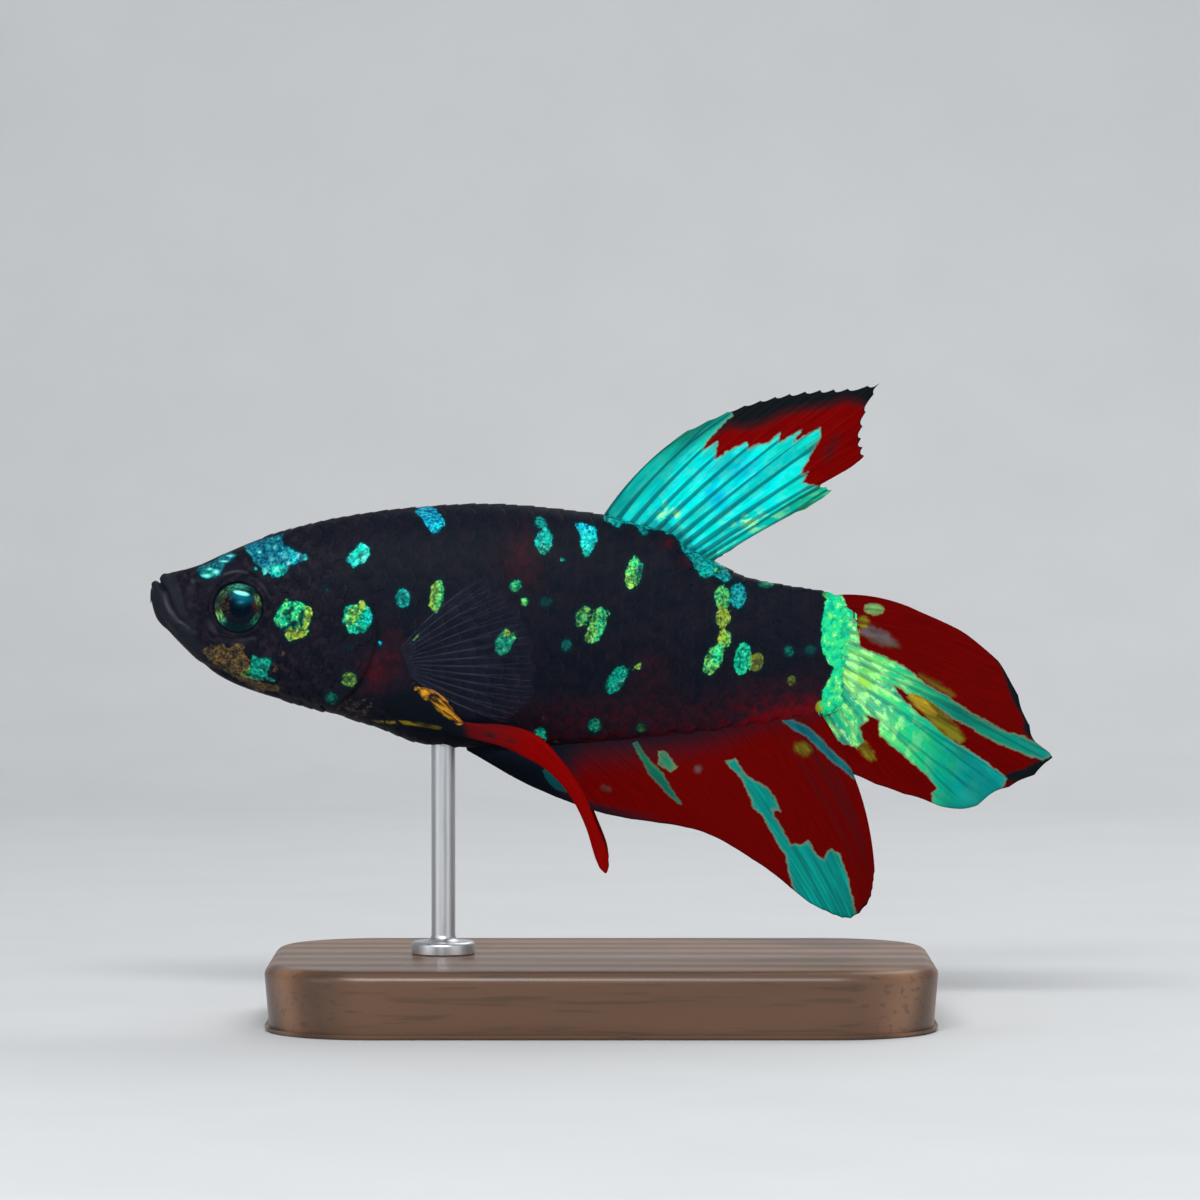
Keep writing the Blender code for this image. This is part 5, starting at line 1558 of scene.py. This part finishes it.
def walnut():
    material, tree, shader = newMaterial("oiledWalnut", 0.42, Specular_IOR_Level=0.4, Coat_Weight=0.15,
                                         Coat_Roughness=0.25)
    rings = noiseOf(tree, 130, detail=3, stretch=(0.12, 1.0, 1.0))
    bands = tree.nodes.new("ShaderNodeTexWave")
    bands.bands_direction = "Y"
    for name, value in (("Scale", 70), ("Distortion", 7), ("Detail", 3), ("Detail Scale", 0.6)):
        bands.inputs[name].default_value = value
    tree.links.new(stretched(tree, objectPlace(tree), (0.1, 1, 1)), bands.inputs["Vector"])
    pores = noiseOf(tree, 2400, detail=2, stretch=(0.06, 1.0, 1.0))
    figure = mathOf(tree, "MULTIPLY_ADD", bands.outputs["Fac"], 0.5, timesOf(tree, rings, 0.6))
    wood = rampOf(tree, figure,
                  ((0.2, (0.055, 0.026, 0.014)), (0.5, (0.12, 0.058, 0.03)), (0.8, (0.2, 0.105, 0.058))))
    wood = mixOf(tree, stepOf(tree, pores, 0.54, 0.7, 0, 0.4), wood, (0.03, 0.015, 0.009))
    dress(tree, shader, wood, bumpOf(tree, pores, 0.03, 0.4), stepOf(tree, rings, 0.3, 0.7, 0.36, 0.5))
    return material


def satinSteel():
    material, tree, shader = newMaterial("satinSteel", 0.3, Metallic=1.0)
    brush = noiseOf(tree, 2200, detail=3, stretch=(1.0, 1.0, 0.04))
    dress(tree, shader, mixOf(tree, brush, (0.42, 0.43, 0.45), (0.62, 0.63, 0.65)),
          bumpOf(tree, brush, 0.01, 0.4), stepOf(tree, brush, 0.3, 0.7, 0.34, 0.46))
    return material


# The fish
skinFinish, scaleFinish = fishSkin("skinFinish", False), fishSkin("scaleFinish", True)
deepReds = ((0.085, 0.0, 0.0), (0.115, 0.0, 0.0))
warmReds = ((0.11, 0.0, 0.0), (0.17, 0.0, 0.0))

skin = buildSkin(skinFinish)
scales = buildScales(skin, scaleFinish)
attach(skin, "root")
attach(scales, "root")
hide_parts("head", "lower_jaw", "gill_cover_left", "gill_cover_right", "trunk", "tail_stem")

dorsal = finSheet("dorsal_sail", dorsalFin, finMaterial("dorsalFinish", warmReds, 0.8, 0.5), dorsalMarks,
                  dorsalFields)
tail = finSheet("tail_fan", tailFin, finMaterial("tailFinish", deepReds, 0.45, 0.8), tailMarks, tailFields)
anal = finSheet("anal_sail", analFin, finMaterial("analFinish", deepReds, 0.3, 0.4), analMarks, analFields)
for piece, node in ((dorsal, "dorsal_fin"), (tail, "caudal_fin"), (anal, "anal_fin")):
    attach(piece, "root")
    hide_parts(node)

pelvicFinish = finMaterial("pelvicFinish", ((0.12, 0.0, 0.0), (0.21, 0.0, 0.0)), 0.3, 0.0, gilt=True)
webFinish = mistMaterial("webFinish", (0.02, 0.024, 0.045), 0.03)
ribFinish = mistMaterial("ribFinish", (0.07, 0.08, 0.135), 0.065)
ribs, ribWidth = ribTree(ribFinish)
iris, cornea = irisMaterial(), corneaMaterial()
for side, hand in ((-1, "left"), (1, "right")):
    pelvic = buildPelvic("pelvic_blade_" + hand, side, pelvicFinish)
    web = buildPectoralWeb("pectoral_web_" + hand, side, webFinish)
    rays = buildPectoralRays("pectoral_rays_" + hand, side, ribs, ribWidth)
    ball, glass = buildEye(hand, side, iris, cornea)
    for piece, slot in ((pelvic, "fin"), (web, "clear_fin"), (rays, "clear_fin"), (ball, "eye"),
                        (glass, "eye")):
        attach(piece, "root")
    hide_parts("pelvic_fin_" + hand)
    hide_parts("pectoral_fin_" + hand)
    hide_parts("eye_" + hand)
print("fins and eyes built")

# The stand
plinth, post = buildBase(walnut()), buildRod(satinSteel())
for piece, node, slot in ((plinth, "stand_base", "base"), (post, "stand_rod", "rod")):
    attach(piece, "root")
    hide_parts(node)

# The studio: a pale floor that sweeps up into a backdrop, soft lights and the camera
studio = {
    "width": 1.6, "front": -0.9, "bend": 0.25, "bendRadius": 0.18, "height": 0.9,
    "distance": 0.45, "lookUp": 1.7, "seen": 0.0903, "target": (-0.0001, 0.0, 0.0317),
}


def buildSweep():
    material, tree, shader = newMaterial("paleSweep", 0.7, Specular_IOR_Level=0.2)
    paper = noiseOf(tree, 60, detail=5)
    dress(tree, shader, mixOf(tree, paper, (0.52, 0.53, 0.54), (0.57, 0.58, 0.59)))
    bend, radius = studio["bend"], studio["bendRadius"]
    profile = [(studio["front"], 0.0), (bend, 0.0)]
    profile += [(bend + radius * math.sin(a), radius * (1 - math.cos(a)))
                for a in np.linspace(0, np.pi / 2, 24)[1:]]
    profile.append((bend + radius, studio["height"]))
    points = [(x, y, z) for y, z in profile for x in (-studio["width"] / 2, studio["width"] / 2)]
    mesh = bpy.data.meshes.new("studio_sweep")
    mesh.from_pydata(points, [], gridFaces(len(profile), 2))
    mesh.shade_smooth()
    mesh.materials.append(material)
    sweep = addObject("studio_sweep", mesh)


def addLight(name, place, size, power, colour=(1, 1, 1)):
    light = bpy.data.lights.new(name, "AREA")
    light.shape = "RECTANGLE"
    light.size, light.size_y = size
    light.energy = power
    light.color = colour
    lamp = addObject(name, light)
    lamp.location = place
    lamp.rotation_euler = (Vector(studio["target"]) - Vector(place)).to_track_quat("-Z", "Y").to_euler()


buildSweep()
addLight("key", (-0.056, -0.416, 0.348), (0.34, 0.065), 2.6)
addLight("fillLeft", (-0.55, -0.35, 0.20), (0.4, 0.4), 0.9, (0.95, 0.98, 1.0))
addLight("fillRight", (0.5, -0.45, 0.15), (0.4, 0.4), 0.7, (1.0, 0.98, 0.95))
addLight("top", (0.0, 0.12, 0.6), (0.6, 0.4), 0.6)
addLight("rear", (0.15, 0.2, 0.3), (0.25, 0.2), 0.6)
world = bpy.data.worlds.new("studioAir")
world.use_nodes = True
air = world.node_tree.nodes["Background"]
air.inputs["Color"].default_value = (0.92, 0.96, 1.0, 1)
air.inputs["Strength"].default_value = 0.25
bpy.context.scene.world = world
bpy.context.scene.view_settings.view_transform = "Standard"

camera = bpy.data.cameras.new("camera")
camera.lens = camera.sensor_width * studio["distance"] / studio["seen"]
camera.clip_start, camera.clip_end = 0.01, 10
eyePoint = addObject("camera", camera)
target = Vector(studio["target"])
up = math.radians(studio["lookUp"])
eyePoint.location = target + Vector((0, -math.cos(up), math.sin(up))) * studio["distance"]
eyePoint.rotation_euler = (target - eyePoint.location).to_track_quat("-Z", "Y").to_euler()
bpy.context.scene.camera = eyePoint
